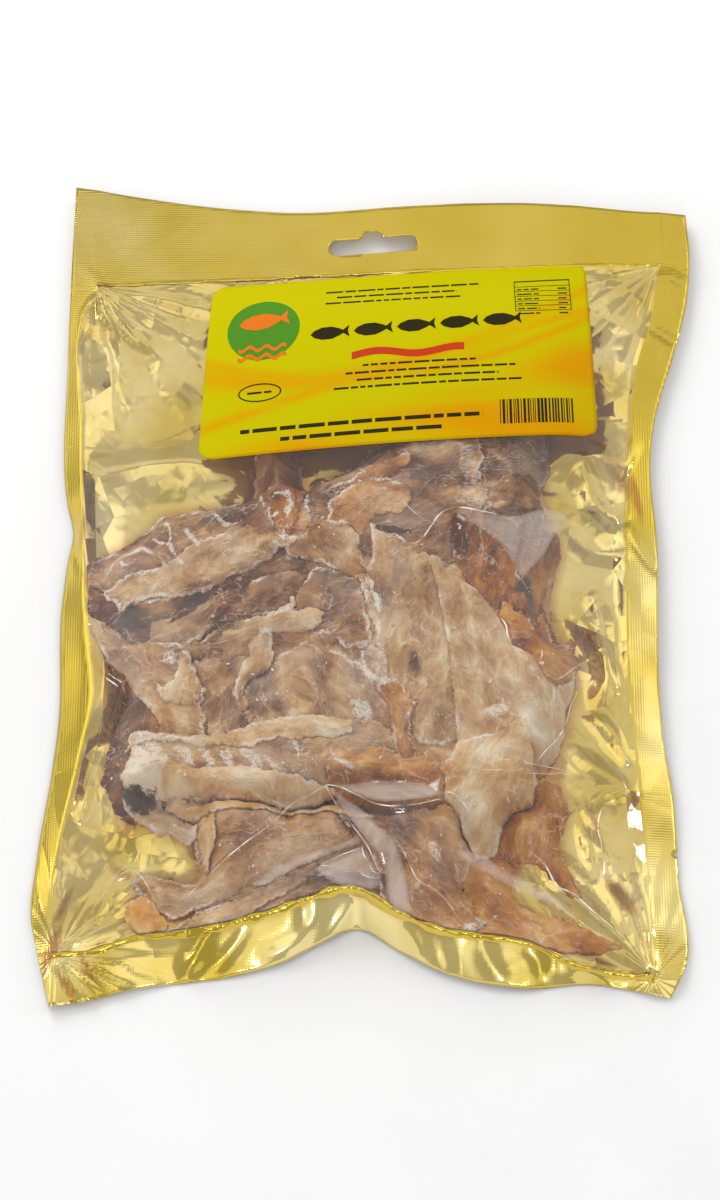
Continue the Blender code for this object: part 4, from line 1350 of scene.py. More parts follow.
# Depth inside the whole pile's outline: towards its rims the pieces droop on to the foil.
covered = np.zeros(pile.shape, bool)
for _, outline, _, _ in FILLETS:
    covered |= inside_of(np.array(outline, float), pile_x, pile_y)
covered = covered.astype(float)
pile_inset = np.zeros(pile.shape)
for _ in range(int(PILE_DROOP / PILE_CELL)):
    pile_inset += PILE_CELL * covered
    covered = -spread(-covered, 1)
pile_inset = relaxed(pile_inset, 4)

for name, outline, level, make in FILLETS:
    fillet(name, outline, level, **make)

# The foil about the fillets and under the label is painted amber, a painted reflection of the
# fillets and of the label's underside: x, y, half length, half width, turn, strength.
PAINTED_REFLECTION_SPOTS = (
    (-86, -36, 16, 5, 90, 0.9), (-24, 50, 44, 5, 5, 0.8), (86, 38, 20, 4, 120, 0.6),
    (92, 30, 14, 2, 100, 0.8), (74, -86, 12, 2.5, 110, 0.7), (83, -114, 13, 3, 125, 0.8),
    (62, -71, 18, 5, 80, 0.7), (-103, -118, 12, 2, 65, 0.8), (-94, -139, 10, 2, -60, 0.7),
    (-84, -105, 8, 3, -30, 0.7), (-83, -84, 6, 13, 10, 0.8), (-99, 20, 20, 2, 80, 0.5),
    (-106, -132, 3, 10, -20, 1.0), (-100, -146, 2, 9, 30, 0.9),
)
REFLECTED_PILE_HEIGHT = 1.2
PAINTED_REFLECTION_SPREAD = 40  # in cells of the pile's map
flat = np.empty(3 * len(foil_web.data.vertices), np.float32)
foil_web.data.vertices.foreach_get("co", flat)
x, y = flat[0::3] / MM, flat[1::3] / MM
# The painted reflection is strongest where the pile stands over the foil.
covered = relaxed((pile > foil_height(pile_x, pile_y) + REFLECTED_PILE_HEIGHT).astype(float), PAINTED_REFLECTION_SPREAD)
painted_reflection = 0.75 * np.clip(read_map(covered, x, y) * 2.0, 0, 1)
for spot_x, spot_y, long, wide, angle, strength in PAINTED_REFLECTION_SPOTS:
    u, v = turned(x - spot_x, y - spot_y, math.radians(angle))
    painted_reflection = np.maximum(painted_reflection, strength * np.clip(1.5 * (1 - np.hypot(u / long, v / wide)), 0, 1))
foil_web.data.attributes.new("painted_reflection", "FLOAT", "POINT").data.foreach_set("value", painted_reflection.astype(np.float32))

# ---------------------------------------------------------------------------------------------
# Fibres and crumbs. Dried flesh frays at every tear into stiff pale fibres, and sheds crumbs that
# lie in the folds. Both are single pieces at true size.

FLESH_FACTS = {"tone": 0.8, "membrane": 0.7, "skin": 0.0, "amber": 0.0}
FIBRE_HALF_WIDTH = 0.12
CRUMBS = 260
CRUMB_MOST = 0.5
CRUMB_LIFT = 0.35


def face_up(bm):
    """Turn every face of a flat scrap or print to the light."""
    bm.normal_update()
    for face in bm.faces:
        if face.normal.z < 0:
            face.normal_flip()


def scrap_mesh(name, bm, facts):
    """Finish loose bits of flesh as one mesh, with the facts its material reads."""
    layers = {key: bm.verts.layers.float.new(key) for key in FLESH_FACTS}
    sheet = bm.loops.layers.uv.new("sheet")
    for key, layer in layers.items():
        for vert, fact in zip(bm.verts, facts):
            vert[layer] = {**FLESH_FACTS, **fact}[key]
    face_up(bm)
    for face in bm.faces:
        for loop in face.loops:
            loop[sheet].uv = tuple(np.array(loop.vert.co[:2]) / MM)
    show(name, finish_mesh(name, bm, dried_flesh), "dried_fish")


bm = bmesh.new()
for start, end, z in fibres:
    side = np.array([start[1] - end[1], end[0] - start[0]]) / np.hypot(*(end - start))
    side = side * FIBRE_HALF_WIDTH
    rise = dice.uniform(-0.3, 0.4)
    bm.faces.new([
        bm.verts.new((start[0] - side[0], start[1] - side[1], z)),
        bm.verts.new((start[0] + side[0], start[1] + side[1], z)),
        bm.verts.new((end[0], end[1], z + rise)),
    ])
bmesh.ops.scale(bm, vec=(MM, MM, MM), verts=bm.verts)
scrap_mesh("torn_fibres", bm, [{"membrane": 0.45}] * len(bm.verts))

bm = bmesh.new()
facts = []
placed = 0
while placed < CRUMBS:
    x, y = dice.uniform(-88, 74), -118 + 150 * dice.random() ** 1.6
    depth, bare = pocket_depth(x, y), read_map(pile, x, y) - foil_height(np.array(x), np.array(y))
    if depth < 4 or bare < 2:
        continue
    size = min(0.24 * math.exp(dice.normal(0.0, 0.5)), CRUMB_MOST)
    made = bmesh.ops.create_circle(bm, cap_ends=True, segments=7, radius=1.0)["verts"]
    stretch, lean = dice.uniform(1, 2.2), dice.uniform(0, math.pi)
    pale = dice.random()
    for vert in made:
        u, v = turned(vert.co.x * stretch * size, vert.co.y * size, lean)
        bulge = dice.uniform(0.6, 1.3)
        px, py = x + u * bulge, y + v * bulge
        vert.co = (px * MM, py * MM, (read_map(pile, px, py) + CRUMB_LIFT) * MM)
        facts.append({"tone": 0.3 + 0.7 * pale, "membrane": 0.9 * (pale > 0.35)})
    placed += 1
scrap_mesh("loose_crumbs", bm, facts)

# ---------------------------------------------------------------------------------------------
# Clear front. A thin glossy film drawn tight over the fillets by the seals, with folds that run
# from the high points to the corners. It stops at the seals' inner lines, where it meets the foil.

FILM_GAP = 0.3
FILM_CELLS = (250, 325)
FILM_EASING = 420
LABEL_EASING = 60
PATCH_CELL = 0.8
FOLD_LIFT = 0.3
FILM_FREE = 5.0  # the folds are at full height so far inside the seals
FILM_FOLD_SIZE = 18.0
FILM_FOLD_RISE = 0.7
LABEL_EDGE_EASE = 4.0
# Corners of the label from its lower left, anticlockwise.
LABEL_CORNERS = ((-60.0, 37.3), (78.8, 50.3), (76.4, 121.8), (-56.3, 110.5))

# Folds of the film: route, how high and how wide each stands, and the width that is pressed flat,
# with 0 for a fold that doesn't stand or isn't pressed. A pressed width is drawn as a near-white
# strip, a painted glint.
FILM_FOLDS = (
    (((-12, 4), (-9.5, 7), (-7, 9.5)), 1.0, 1.6, 0.9),
    ((
        (0.5, 8.5), (3, 8), (5.5, 6.5), (9.5, 6), (11, 4.5), (13, 4), (14.5, 4), (17, 6), (20, 10.5),
        (23, 15), (25.5, 17), (28.5, 18), (31.5, 18), (37, 17), (40.5, 16.5), (44, 15.5), (46.5, 15),
        (48, 14), (50, 12.5),
    ), 1.6, 2.0, 1.1),
    (((11, 19.5), (13.5, 17), (17, 14), (20, 11.5)), 0, 0, 0.5),
    ((
        (-15.5, -82.5), (-12, -88.5), (-7.5, -94.5), (-4, -99), (-1.5, -102.5), (1, -108), (3, -112.5),
    ), 1.6, 2.0, 0.7),
    ((
        (-16.5, -82.5), (-21.5, -86), (-24, -87), (-27.5, -89.5), (-32, -94), (-36.5, -97.5), (-42, -101.5),
        (-48.5, -106.5), (-55, -112.5), (-61.5, -118), (-66, -122.5),
    ), 1.8, 2.2, 0.8),
    ((
        (-15.5, -82), (-9, -84), (-4, -86.5), (0, -88.5), (5, -89.5), (9, -89.5), (16, -88.5),
        (22.5, -86.5),
    ), 2.4, 3.4, 1.0),
    (((24, -79), (24.5, -81)), 0, 0, 0.9),
    (((-15.5, -82), (-9, -83), (-4, -81.5), (1, -80.5), (9, -81), (19, -81)), 1.8, 3.0, 0),
    (((24.5, -84), (27, -85), (29, -86.5)), 1.2, 1.6, 1.0),
    (((29, -86.5), (31.5, -90), (33, -92)), 0.8, 1.6, 0.6),
    (((-3.5, -102), (-3, -104.5), (-1, -108), (0, -110), (2, -111)), 1.0, 1.4, 1.2),
    (((-17, -108), (-13.5, -108.5), (-9, -110), (-5, -110.5), (-1.5, -112), (2.5, -112.5)), 1.0, 1.4, 1.1),
    (((-16.5, -107.5), (-10.5, -105), (-4, -102.5)), 0.8, 1.4, 0.7),
    ((
        (8.5, -101.5), (10.5, -104.5), (12.5, -109), (15, -113.5), (19, -115.5), (23, -118.5), (26, -122),
        (29, -126),
    ), 2.2, 3.0, 0.9),
    (((4, -97.5), (2, -102.5), (3, -109), (3, -115.5), (4, -119.5)), 1.8, 2.6, 0),
    ((
        (52, -103), (57, -108), (60.5, -114), (67, -117.5), (72.5, -122), (79, -127), (85.5, -133),
        (88, -135),
    ), 3.0, 4.5, 1.6),
    ((
        (36, -73.5), (39, -74), (42.5, -73), (49, -73.5), (54, -74), (59, -74.5), (63, -75), (65, -76.5),
    ), 0.6, 1.2, 0.5),
    ((
        (36.5, -76.5), (42.5, -76.5), (49, -77), (55.5, -77), (61, -76.5), (63, -76), (65.5, -78),
    ), 0.6, 1.2, 0.6),
    (((69, -46.5), (66.5, -52), (65, -58), (61.5, -64.5), (57.5, -69), (55, -72.5)), 0, 0, 0.8),
    (((69, -37), (66, -40), (63, -42.5), (60.5, -43.5)), 0, 0, 0.7),
    ((
        (21, -6), (22.5, -11.5), (23.5, -19.5), (24.5, -28), (26, -35), (27.5, -44), (28.5, -51.5),
        (29, -60),
    ), 0.6, 1.2, 0),
    (((43, -22), (45, -25), (45.5, -28.5), (46.5, -31)), 1.2, 1.6, 1.2),
    (((57, -32.5), (57, -35.5), (56, -38), (55.5, -39.5)), 1.2, 1.6, 1.2),
    (((51, -8), (52.5, -10.5)), 0, 0, 0.9),
    ((
        (-89.5, -116.5), (-86, -113), (-82.5, -110), (-80, -109), (-77.5, -110), (-74.5, -113.5),
        (-72, -118), (-70, -121.5),
    ), 1.6, 2.2, 0.7),
    ((
        (-98, -16.5), (-94.5, -28), (-91.5, -36), (-87, -40.5), (-83.5, -44), (-84, -48.5), (-86, -54.5),
        (-88.5, -61.5), (-90.5, -68.5),
    ), 1.2, 2.4, 0),
    (((-89.5, -64.5), (-92.5, -74.5), (-95.5, -84.5), (-97.5, -91)), 1.4, 2.4, 0.5),
    (((-65, -122.5), (-58.5, -119.5), (-52, -115.5), (-45.5, -112.5)), 1.0, 2.0, 0),
    (((-104, 118), (-96, 110), (-79, 107), (-58, 104)), 1.4, 3.0, 0),
    (((-96, 109), (-78, 101), (-62, 93)), 1.2, 3.0, 0),
    (((-99, 103), (-94, 91), (-88, 76)), 1.4, 3.0, 0),
    (((-101, 108), (-93, 100), (-78, 88)), -1.4, 3.0, 0),
    (((72, 43), (79, 26), (87, 19)), 2.0, 3.5, 0),
    (((64, 21), (75, 17), (84, 9)), 1.8, 3.0, 0),
    (((69, -11), (77, -26), (84, -44)), 2.4, 4.0, 0),
    (((73, -48), (80, -55), (87, -69)), 1.8, 3.0, 0),
    (((66, -60), (76, -69), (88, -80)), 1.8, 3.0, 0),
    (((72, -94), (76, -83), (84, -80), (89, -83)), 1.4, 2.4, 0),
    (((68, -80), (72, -94), (75, -111)), 1.8, 3.0, 0),
)


def on_label(x, y, soften):
    """1 under the label, falling to 0 over so many millimetres outside it."""
    inside = np.full(np.shape(x), FAR)
    for (ax, ay), (bx, by) in zip(LABEL_CORNERS, LABEL_CORNERS[1:] + LABEL_CORNERS[:1]):
        run = math.hypot(bx - ax, by - ay)
        inside = np.minimum(inside, ((bx - ax) * (y - ay) - (by - ay) * (x - ax)) / run)
    return np.clip(1 + inside / soften, 0, 1)


# The film starts at the pocket's crown and is drawn down step by step on to what lies under it.
crown_map = crown(pile_x, pile_y)
in_pocket = pocket_depth(pile_x, pile_y) > 0
obstacle = np.where(in_pocket, spread(pile, 1) + FILM_GAP, foil_height(pile_x, pile_y))
label_map = relaxed(np.maximum(obstacle, crown_map - 0.6), LABEL_EASING)
obstacle = np.maximum(obstacle, np.where(on_label(pile_x, pile_y, 0.1) > 0, label_map - 0.4, 0))
film_map = np.where(in_pocket, np.maximum(obstacle, crown_map), obstacle)
for _ in range(FILM_EASING):
    film_map = np.where(in_pocket, np.maximum(obstacle, relaxed(film_map, 1)), obstacle)
film_map = film_map + (label_map - film_map) * on_label(pile_x, pile_y, 6)


def film_height(x, y):
    """The drawn film: taut over the pile, pinned at the seals, with folds where it is slack."""
    depth = pocket_depth(x, y)
    free = np.clip(depth / FILM_FREE, 0, 1) * (1 - on_label(x, y, LABEL_EDGE_EASE))
    slack = np.clip((x - 60) / 12, 0, 1) + np.clip((-95 - y) / 15, 0, 1) + np.clip((-80 - x) / 12, 0, 1)
    slack = np.clip(slack + np.clip((y - 45) / 10, 0, 1), 0.15, 1)
    fold = free * slack * FILM_FOLD_RISE * folded(x, y, FILM_FOLD_SIZE, 41, 2)
    for route, height, width, _ in FILM_FOLDS:
        if height:
            fold = fold + free * crease(x, y, route, height, width)
    low = foil_height(x, y) + 0.05
    return np.maximum(read_map(film_map, x, y) + fold, low)


film_across, film_along = lattice_places((FILM_CELLS[0],), (FILM_CELLS[1],), 1, 1)
film_x, film_y = web_point(film_across, film_along)
film_places = np.stack([film_x, film_y, film_height(film_x, film_y)], axis=2)


def film_material(name, haze_and_painted_sheen_share, haze_and_painted_sheen_colour, roughness, soft=False, broken=False):
    """Clear polyester film: sharp reflections over a faint milky haze, seen through everywhere. A strong haze
    is partly a painted reflection on the doubled folds, and a painted glint on the pressed ones.
    """
    material, tree = blank_material(name)
    where = add(tree, "ShaderNodeTexCoord").outputs["Object"]
    rub = noise_at(tree, where, 90.0, 3.0)
    worn = add(tree, "ShaderNodeBump", {"Height": rub, "Distance": 0.0003, "Strength": 0.25}).outputs[0]
    mirror = add(tree, "ShaderNodeBsdfAnisotropic", {"Color": linear("#FFFFFF"), "Roughness": roughness,
                                                     "Normal": worn})
    passing = add(tree, "ShaderNodeBsdfTransparent", {"Color": linear("#FCFBFA")})
    haze_and_painted_sheen = add(tree, "ShaderNodeBsdfDiffuse", {"Color": linear(haze_and_painted_sheen_colour)})
    streak = noise_at(tree, where, 150.0 if broken else 40.0, 3.0)
    if broken:
        cloudy = add(tree, "ShaderNodeMapRange", {0: streak, 1: 0.40, 2: 0.56, 3: 0.12, 4: haze_and_painted_sheen_share})
    else:
        cloudy = add(tree, "ShaderNodeMath", {0: streak, 1: 2.0 * haze_and_painted_sheen_share}, operation="MULTIPLY")
    if soft:
        veil = add(tree, "ShaderNodeAttribute", attribute_name="veil").outputs["Fac"]
        cloudy = add(tree, "ShaderNodeMath", {0: cloudy.outputs[0], 1: veil}, operation="MULTIPLY")
    veiled = add(tree, "ShaderNodeMixShader", {0: cloudy.outputs[0], 1: passing.outputs[0],
                                               2: haze_and_painted_sheen.outputs[0]})
    glance = add(tree, "ShaderNodeFresnel", {"IOR": 1.5, "Normal": worn})
    capped = add(tree, "ShaderNodeMath", {0: glance.outputs[0], 1: 0.1}, operation="MINIMUM")
    both = add(tree, "ShaderNodeMixShader", {0: capped.outputs[0], 1: veiled.outputs[0],
                                             2: mirror.outputs[0]})
    add(tree, "ShaderNodeOutputMaterial", {0: both.outputs[0]})
    return material


clear_film = film_material("clear_polyester_film", 0.03, "#E6E0DC", 0.06)
# Doubled film: its milky veil is partly real haze and partly a painted reflection on the fold.
folded_film = film_material("folded_polyester_film", 0.5, "#E0CFC2", 0.15, soft=True)
# Near-white and nearly opaque: a painted glint on the pressed folds.
glint_painted_film = film_material("film_fold_painted_glint", 0.95, "#FFFDF8", 0.2, broken=True)

film_mesh = sheet_mesh("clear_front", film_places, np.stack([film_x, film_y], axis=2), {}, clear_film)
show("clear_front", film_mesh, "clear_film", "bag_front")


def film_patch(name, outline, material, streaks, lift=FOLD_LIFT, haze_and_painted_sheen=1.0):
    """A doubled place in the film, lying on it, with streaks that run at an angle in degrees. Its milky veil
    is partly a painted reflection.
    """
    line = torn(outline, 0.1, 5)
    bm, points = cut_sheet(line, PATCH_CELL)
    x, y = points.T
    along, across = turned(x, y, math.radians(streaks))
    veil = haze_and_painted_sheen * np.clip(depth_inside(line, points) / 1.2, 0.3, 1)
    veil = veil * (0.66 + 0.44 * folded(along / 6, across, 3.4, 61, 2))
    mesh = finish_sheet(name, bm, points, film_height(x, y) + lift, points, {"veil": veil}, material)
    show(name, mesh, "clear_film")


def painted_glint_fold(name, route, width):
    """A narrow tapering fold pressed into the film, drawn as a near-white strip: a painted glint."""
    line = smooth_line(route, step=0.8)
    side = -aside(np.gradient(line, axis=0))
    taper = np.sqrt(np.sin(np.pi * np.linspace(0.03, 0.97, len(line))))[:, None] * width / 2
    taper = 0.34 * taper * np.clip(0.8 + 1.2 * layered(line[:, 0], line[:, 1], 6, 12), 0.05, 1.6)[:, None]
    strip = np.stack([line - side * taper, line + side * taper])
    x, y = strip[..., 0], strip[..., 1]
    places = np.stack([x, y, film_height(x, y) + FOLD_LIFT], axis=2)
    show(name, sheet_mesh(name, places, strip, {}, glint_painted_film), "clear_film")


def bead(name, route, width, rise):
    """The crinkled bead squeezed out along a seal."""
    line = smooth_line(route, step=0.6)
    side = -aside(np.gradient(line, axis=0))
    wide = width * np.clip(1 + 0.7 * layered(*line.T, 5, 23), 0.3, 1.8)
    tall = rise * np.clip(1 + 0.5 * layered(*line.T, 3, 29), 0.3, 1.6)
    line = line + side * 0.25 * layered(*line.T, 6, 37)[:, None]
    strip = np.stack([line + side * (k * wide)[:, None] for k in (-0.5, -0.25, 0.0, 0.25, 0.5)])
    x, y = strip[..., 0], strip[..., 1]
    lift = np.stack([k * tall for k in (0.0, 0.8, 1.0, 0.8, 0.0)])
    places = np.stack([x, y, np.maximum(film_height(x, y), foil_height(x, y)) + 0.1 + lift], axis=2)
    show(name, sheet_mesh(name, places, strip, {}, gold_foil), "gold_foil")


bead("bottom_seal_bead", [(x, y - 0.4) for x, y in BOTTOM_SEAL], 2.0, 0.9)
bead("top_seal_bead", [(x, y + 0.3) for x, y in TOP_SEAL], 1.0, 0.4)
# A small near-white patch on the tuck: a painted glint.
film_patch("tuck_glint", ((18.5, -82), (22.5, -79), (21.5, -84)), glint_painted_film, 0, 0.35)
# Places where the film lies double: name, way of its streaks in degrees, milkiness (partly a painted
# reflection), outline.
FILM_TUCKS = (
    ("tuck_upper_right", 75, 0.6, (
        (28.5, 18), (37, 17), (44, 16), (50.5, 16.5), (57, 19.5), (67.5, 19.5), (65, 14), (61.5, 8.5),
        (58.5, 2), (54.5, -2.5), (51, -7.5), (48.5, -2.5), (43.5, 5.5), (36, 11.5), (31, 15.5),
    )),
    ("tuck_star_down", 70, 1.0, (
        (-14.5, -82.5), (-9, -86.5), (-3.5, -90), (0, -93.5), (4, -97.5), (7.5, -101), (9.5, -106),
        (11.5, -114), (12.5, -120.5), (14.5, -125), (10.5, -123.5), (6.5, -121.5), (4.5, -116.5), (4, -110),
        (2, -104.5), (-2, -99.5), (-5.5, -95.5), (-10, -89.5),
    )),
    ("tuck_star_right", -20, 1.0, (
        (-15.5, -82), (-9, -84.5), (-2, -87), (4, -88), (12.5, -87), (19.5, -86), (24, -84.5), (21, -82.5),
        (17.5, -81.5), (9, -81), (1, -81), (-6, -82), (-10.5, -82.5),
    )),
    ("tuck_low_left", 35, 1.0, (
        (-3.5, -100.5), (-9, -102.5), (-15.5, -105), (-24, -108), (-30.5, -111.5), (-36.5, -114),
        (-37.5, -112.5), (-32, -108.5), (-24, -105), (-15.5, -102.5), (-9, -100.5), (-5, -98.5),
    )),
    ("tuck_triangle", 60, 1.0, (
        (-17.5, -108), (-10.5, -105), (-3.5, -102), (-2.5, -104.5), (0, -108), (2, -111.5), (3, -114.5),
        (0, -115.5), (-5.5, -115.5), (-11.5, -114), (-15.5, -111.5), (-19.5, -109),
    )),
    ("tuck_right_spear", -35, 1.0, (
        (27, -102.5), (32, -103.5), (38, -105), (42, -108.5), (48.5, -111.5), (57, -115.5), (65, -121),
        (70.5, -125.5), (63.5, -122), (57, -119.5), (48.5, -116), (41.5, -112.5), (35.5, -109),
        (29.5, -106),
    )),
)
for name, streaks, haze_and_painted_sheen, outline in FILM_TUCKS:
    film_patch(name, outline, folded_film, streaks, haze_and_painted_sheen=haze_and_painted_sheen)
# Each pressed fold as a near-white strip, a painted glint along it.
for number, (route, glint_width) in enumerate([(fold[0], fold[3]) for fold in FILM_FOLDS if fold[3]]):
    painted_glint_fold(f"film_fold_{number:02d}", route, glint_width)

# ---------------------------------------------------------------------------------------------
# Label. A gloss paper sticker with round corners, stuck on the film and printed yellow with orange
# waves. It lets a little light through.

LABEL_CELL = 1.5
LABEL_SIZE = (138.0, 72.0)
LABEL_CORNER_RADIUS = 5.0
LABEL_PROUD = 0.3
LABEL_THICK = 0.12


def label_place(s, t, proud):
    """A point of the label, from millimetres along and up it, at a height over the film."""
    u, v = s / LABEL_SIZE[0], t / LABEL_SIZE[1]
    x, y = [(a * (1 - u) + b * u) * (1 - v) + (d * (1 - u) + c * u) * v for a, b, c, d in zip(*LABEL_CORNERS)]
    return np.stack([x, y, read_map(label_map, x, y) + proud], axis=-1)


label_stock, tree = blank_material("gloss_label_paper")
ground = blend(tree, fact("wave"), linear("#D3CA00"), linear("#E6A400"))
shader = add(tree, "ShaderNodeBsdfPrincipled", {"Base Color": ground, "Roughness": 0.4,
                                                "Specular IOR Level": 0.05})
through = add(tree, "ShaderNodeBsdfTranslucent", {"Color": linear("#E89A50")})
paper = add(tree, "ShaderNodeMixShader", {0: 0.16, 1: shader.outputs[0], 2: through.outputs[0]})
add(tree, "ShaderNodeOutputMaterial", {0: paper.outputs[0]})

label_columns = np.linspace(0, LABEL_SIZE[0], int(LABEL_SIZE[0] / LABEL_CELL))
label_rows = np.linspace(0, LABEL_SIZE[1], int(LABEL_SIZE[1] / LABEL_CELL))
label_s, label_t = np.meshgrid(label_columns, label_rows)
near_end = np.minimum(label_t, LABEL_SIZE[1] - label_t)
short = LABEL_CORNER_RADIUS - np.minimum(near_end, LABEL_CORNER_RADIUS)
rounding = LABEL_CORNER_RADIUS - np.sqrt(np.clip(LABEL_CORNER_RADIUS**2 - short**2, 0, None))
rounding = np.clip(rounding, 0, None)
squeeze = 1 - 2 * rounding / LABEL_SIZE[0]
label_s = LABEL_SIZE[0] / 2 + (label_s - LABEL_SIZE[0] / 2) * squeeze
u, v = label_s / LABEL_SIZE[0], label_t / LABEL_SIZE[1]
swell = 0.04 + 0.58 * u**1.3 + 0.04 * np.sin(7 * u)
orange_wave = np.clip((swell - v) / 0.16, 0, 1) * np.clip(0.75 + 0.4 * np.sin(9 * u + 14 * v), 0, 1)
for start, rise, width in ((0.52, -0.75, 0.03), (0.44, -0.50, 0.05), (0.16, 0.55, 0.03)):
    stroke = start + rise * u + 0.9 * u**2 * (rise < 0)
    orange_wave = np.maximum(orange_wave, 0.8 * np.exp(-(((v - stroke) / width) ** 2)))
for start, rise, width in ((0.30, -0.30, 0.02), (0.05, 0.50, 0.025)):
    orange_wave = orange_wave * (1 - 0.6 * np.exp(-(((v - start - rise * u - 0.25 * u**2) / width) ** 2)))
label_mesh = sheet_mesh("label_sticker", label_place(label_s, label_t, LABEL_PROUD),
                        np.stack([label_s, label_t], axis=2), {"wave": orange_wave}, label_stock)
thicken(show("label_sticker", label_mesh, "label_stock", "label"), LABEL_THICK)

# ---------------------------------------------------------------------------------------------
# Label print. Ink laid on the sticker in thin films: an emblem of a fish over waves, a row of
# small fish, a red stroke, rows of bars, a ruled table, an oval stamp and a bar pattern.

INK_THICK = 0.05
INK_CELL = 4.0  # the print is cut this fine so that it follows the label's curve
FINE_ROW = 0.8
BOLD_ROW = 1.5
TABLE_LEFT, TABLE_TOP, TABLE_WIDE, TABLE_PITCH = 111.0, 65.0, 20.5, 2.3
PATTERN_FROM, PATTERN_TO, PATTERN_FOOT, PATTERN_HIGH = 104.0, 130.0, 5.0, 9.5
FISH = (
    (-0.5, 0.0), (-0.40, 0.11), (-0.2, 0.19), (0.05, 0.19), (0.24, 0.11), (0.34, 0.05), (0.5, 0.19),
    (0.46, 0.0), (0.5, -0.19), (0.34, -0.05), (0.24, -0.11), (0.05, -0.19), (-0.2, -0.19), (-0.40, -0.11),
)


def ink(name, colour):
    """An ink's material: its colour with the faint mottle of print on paper."""
    material, tree = blank_material(name)
    where = add(tree, "ShaderNodeTexCoord").outputs["Object"]
    mottle = noise_at(tree, where, 900.0, 2.0)
    depth = add(tree, "ShaderNodeMapRange", {0: mottle, 3: 0.85, 4: 1.15}).outputs[0]
    tint = add(tree, "ShaderNodeHueSaturation", {"Color": linear(colour), "Value": depth}).outputs[0]
    shader = add(tree, "ShaderNodeBsdfPrincipled", {"Base Color": tint, "Roughness": 0.45,
                                                    "Specular IOR Level": 0.15})
    add(tree, "ShaderNodeOutputMaterial", {0: shader.outputs[0]})
    return material


def box(s, t, wide, high):
    """A rectangle from its lower left corner."""
    return ((s, t), (s + wide, t), (s + wide, t + high), (s, t + high))


def ring(s, t, wide, high, line):
    """An oval line as a closed band, cut open at its right end."""
    turns = np.linspace(0, 2 * math.pi, 41)
    outer = [(s + wide * math.cos(a), t + high * math.sin(a)) for a in turns]
    inner = [(s + (wide - line) * math.cos(a), t + (high - line) * math.sin(a)) for a in turns[::-1]]
    return tuple(outer + inner)


def grown(shape, s, t, size, lean=0.0):
    """A shape of unit length at a place, size and slope."""
    shape = np.array(shape)
    x, y = turned(shape[:, 0], shape[:, 1], -math.radians(lean))
    return tuple(zip(s + size * x, t + size * y))


def printed(name, shapes, material, layer=1):
    """One ink's shapes, each a closed outline in millimetres of the label, as a single piece."""
    whole = bmesh.new()
    for shape in shapes:
        low, high = np.min(shape, axis=0), np.max(shape, axis=0)
        steps = np.maximum(np.ceil((high - low) / INK_CELL), 1).astype(int)
        bm = bmesh.new()
        face = bm.faces.new([bm.verts.new((*corner, 0)) for corner in shape])
        for axis in (0, 1):
            for k in range(1, steps[axis]):
                place, normal = [0.0, 0.0, 0.0], [0.0, 0.0, 0.0]
                place[axis], normal[axis] = low[axis] + (high - low)[axis] * k / steps[axis], 1.0
                bmesh.ops.bisect_plane(bm, geom=bm.verts[:] + bm.edges[:] + bm.faces[:],
                                       plane_co=place, plane_no=normal)
        s_t = np.array([vert.co[:2] for vert in bm.verts])
        for vert, spot_mm in zip(bm.verts, label_place(*s_t.T, LABEL_PROUD + INK_THICK * layer)):
            vert.co = tuple(spot_mm * MM)
        bmesh.ops.triangulate(bm, faces=bm.faces)
        part = finish_mesh("part", bm)
        whole.from_mesh(part)
        bpy.data.meshes.remove(part)
    face_up(whole)
    show(name, finish_mesh(name, whole, material), "label_ink")


def words(s, t, length, high):
    """A row of bars with the rhythm of words."""
    end = s + length
    while s < end:
        wide = min(dice.uniform(2.0, 7.5) * high**0.5, end - s)
        yield box(s, t, wide, high)
        s += wide + 0.9 * high**0.5


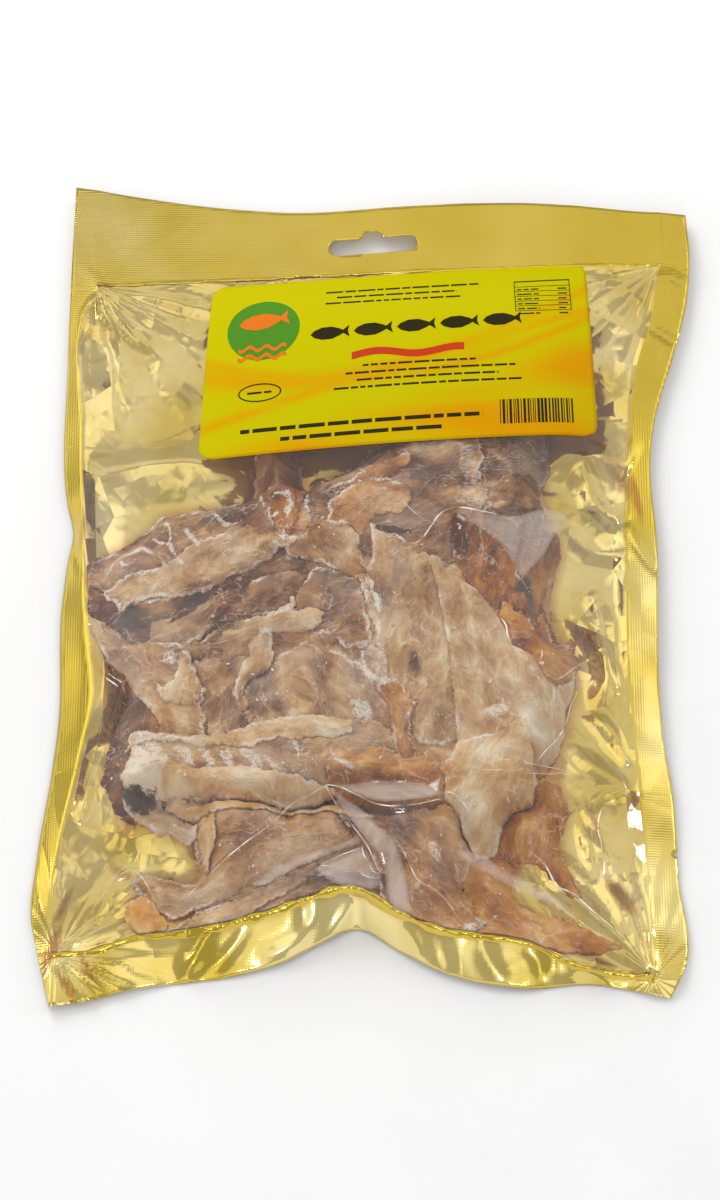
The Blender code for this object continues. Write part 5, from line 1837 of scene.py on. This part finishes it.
black_ink = ink("black_label_ink", "#2B2408")
green_ink = ink("green_label_ink", "#4C8A1E")
orange_ink = ink("orange_label_ink", "#DE7418")
red_ink = ink("red_label_ink", "#C43A14")

EMBLEM = (20.0, 50.0)
EMBLEM_RADIUS = 13.0
disc = list(arc(EMBLEM, EMBLEM_RADIUS, 0, 360, 49))[:-1]
printed("emblem_disc", [disc], green_ink)
swells = []
for base in (39.0, 42.6):
    crest = [(EMBLEM[0] + k, base + 0.9 * math.sin(k * 1.05)) for k in np.linspace(-8.6, 8.6, 31)]
    swells.append(crest + [(s, t - 1.5) for s, t in crest[::-1]])
printed("emblem_fish", [grown(FISH, EMBLEM[0], EMBLEM[1] + 3.5, 18, 8)] + swells, orange_ink, 2)
ribbon = [(k, 37.5 + 1.0 * math.sin((k - 54) * 0.22)) for k in np.linspace(52, 92, 41)]
printed("red_ribbon", [ribbon + [(s, t - 3.0) for s, t in ribbon[::-1]]], red_ink)

black = [grown(FISH, 44 + 15.5 * k, 46.0 + 0.5 * k, 14.0, 3) for k in range(5)]
for top, pitch, high, rows in (
    (31.0, 2.9, FINE_ROW, ((56, 40), (50, 60), (54, 50), (46, 66))),
    (65.0, 2.8, FINE_ROW, ((42, 56), (46, 44), (42, 50))),
    (8.6, 4.2, BOLD_ROW, ((14, 84), (28, 56))),
):
    for row, (start, length) in enumerate(rows):
        black += words(start, top - pitch * row, length, high)
s = PATTERN_FROM
while s < PATTERN_TO:
    wide = dice.choice([0.3, 0.3, 0.6, 0.9])
    black.append(box(s, PATTERN_FOOT, wide, PATTERN_HIGH))
    s += wide + dice.choice([0.35, 0.6])
for k in range(7):
    rule = TABLE_TOP - TABLE_PITCH * k
    black.append(box(TABLE_LEFT, rule, TABLE_WIDE, 0.25 if k else 0.5))
    if k:
        black += words(TABLE_LEFT + 1.0, rule - 1.5, 8.0, 0.6)
        black += words(TABLE_LEFT + 16.0, rule - 1.5, 3.4, 0.6)
black += [box(s, 51.2, 0.3, 14.3) for s in (TABLE_LEFT, 131.3)]
black.append(ring(20, 24, 7.6, 3.6, 0.5))
black += words(15.6, 23.6, 8.5, 0.8)
printed("black_print", black, black_ink)
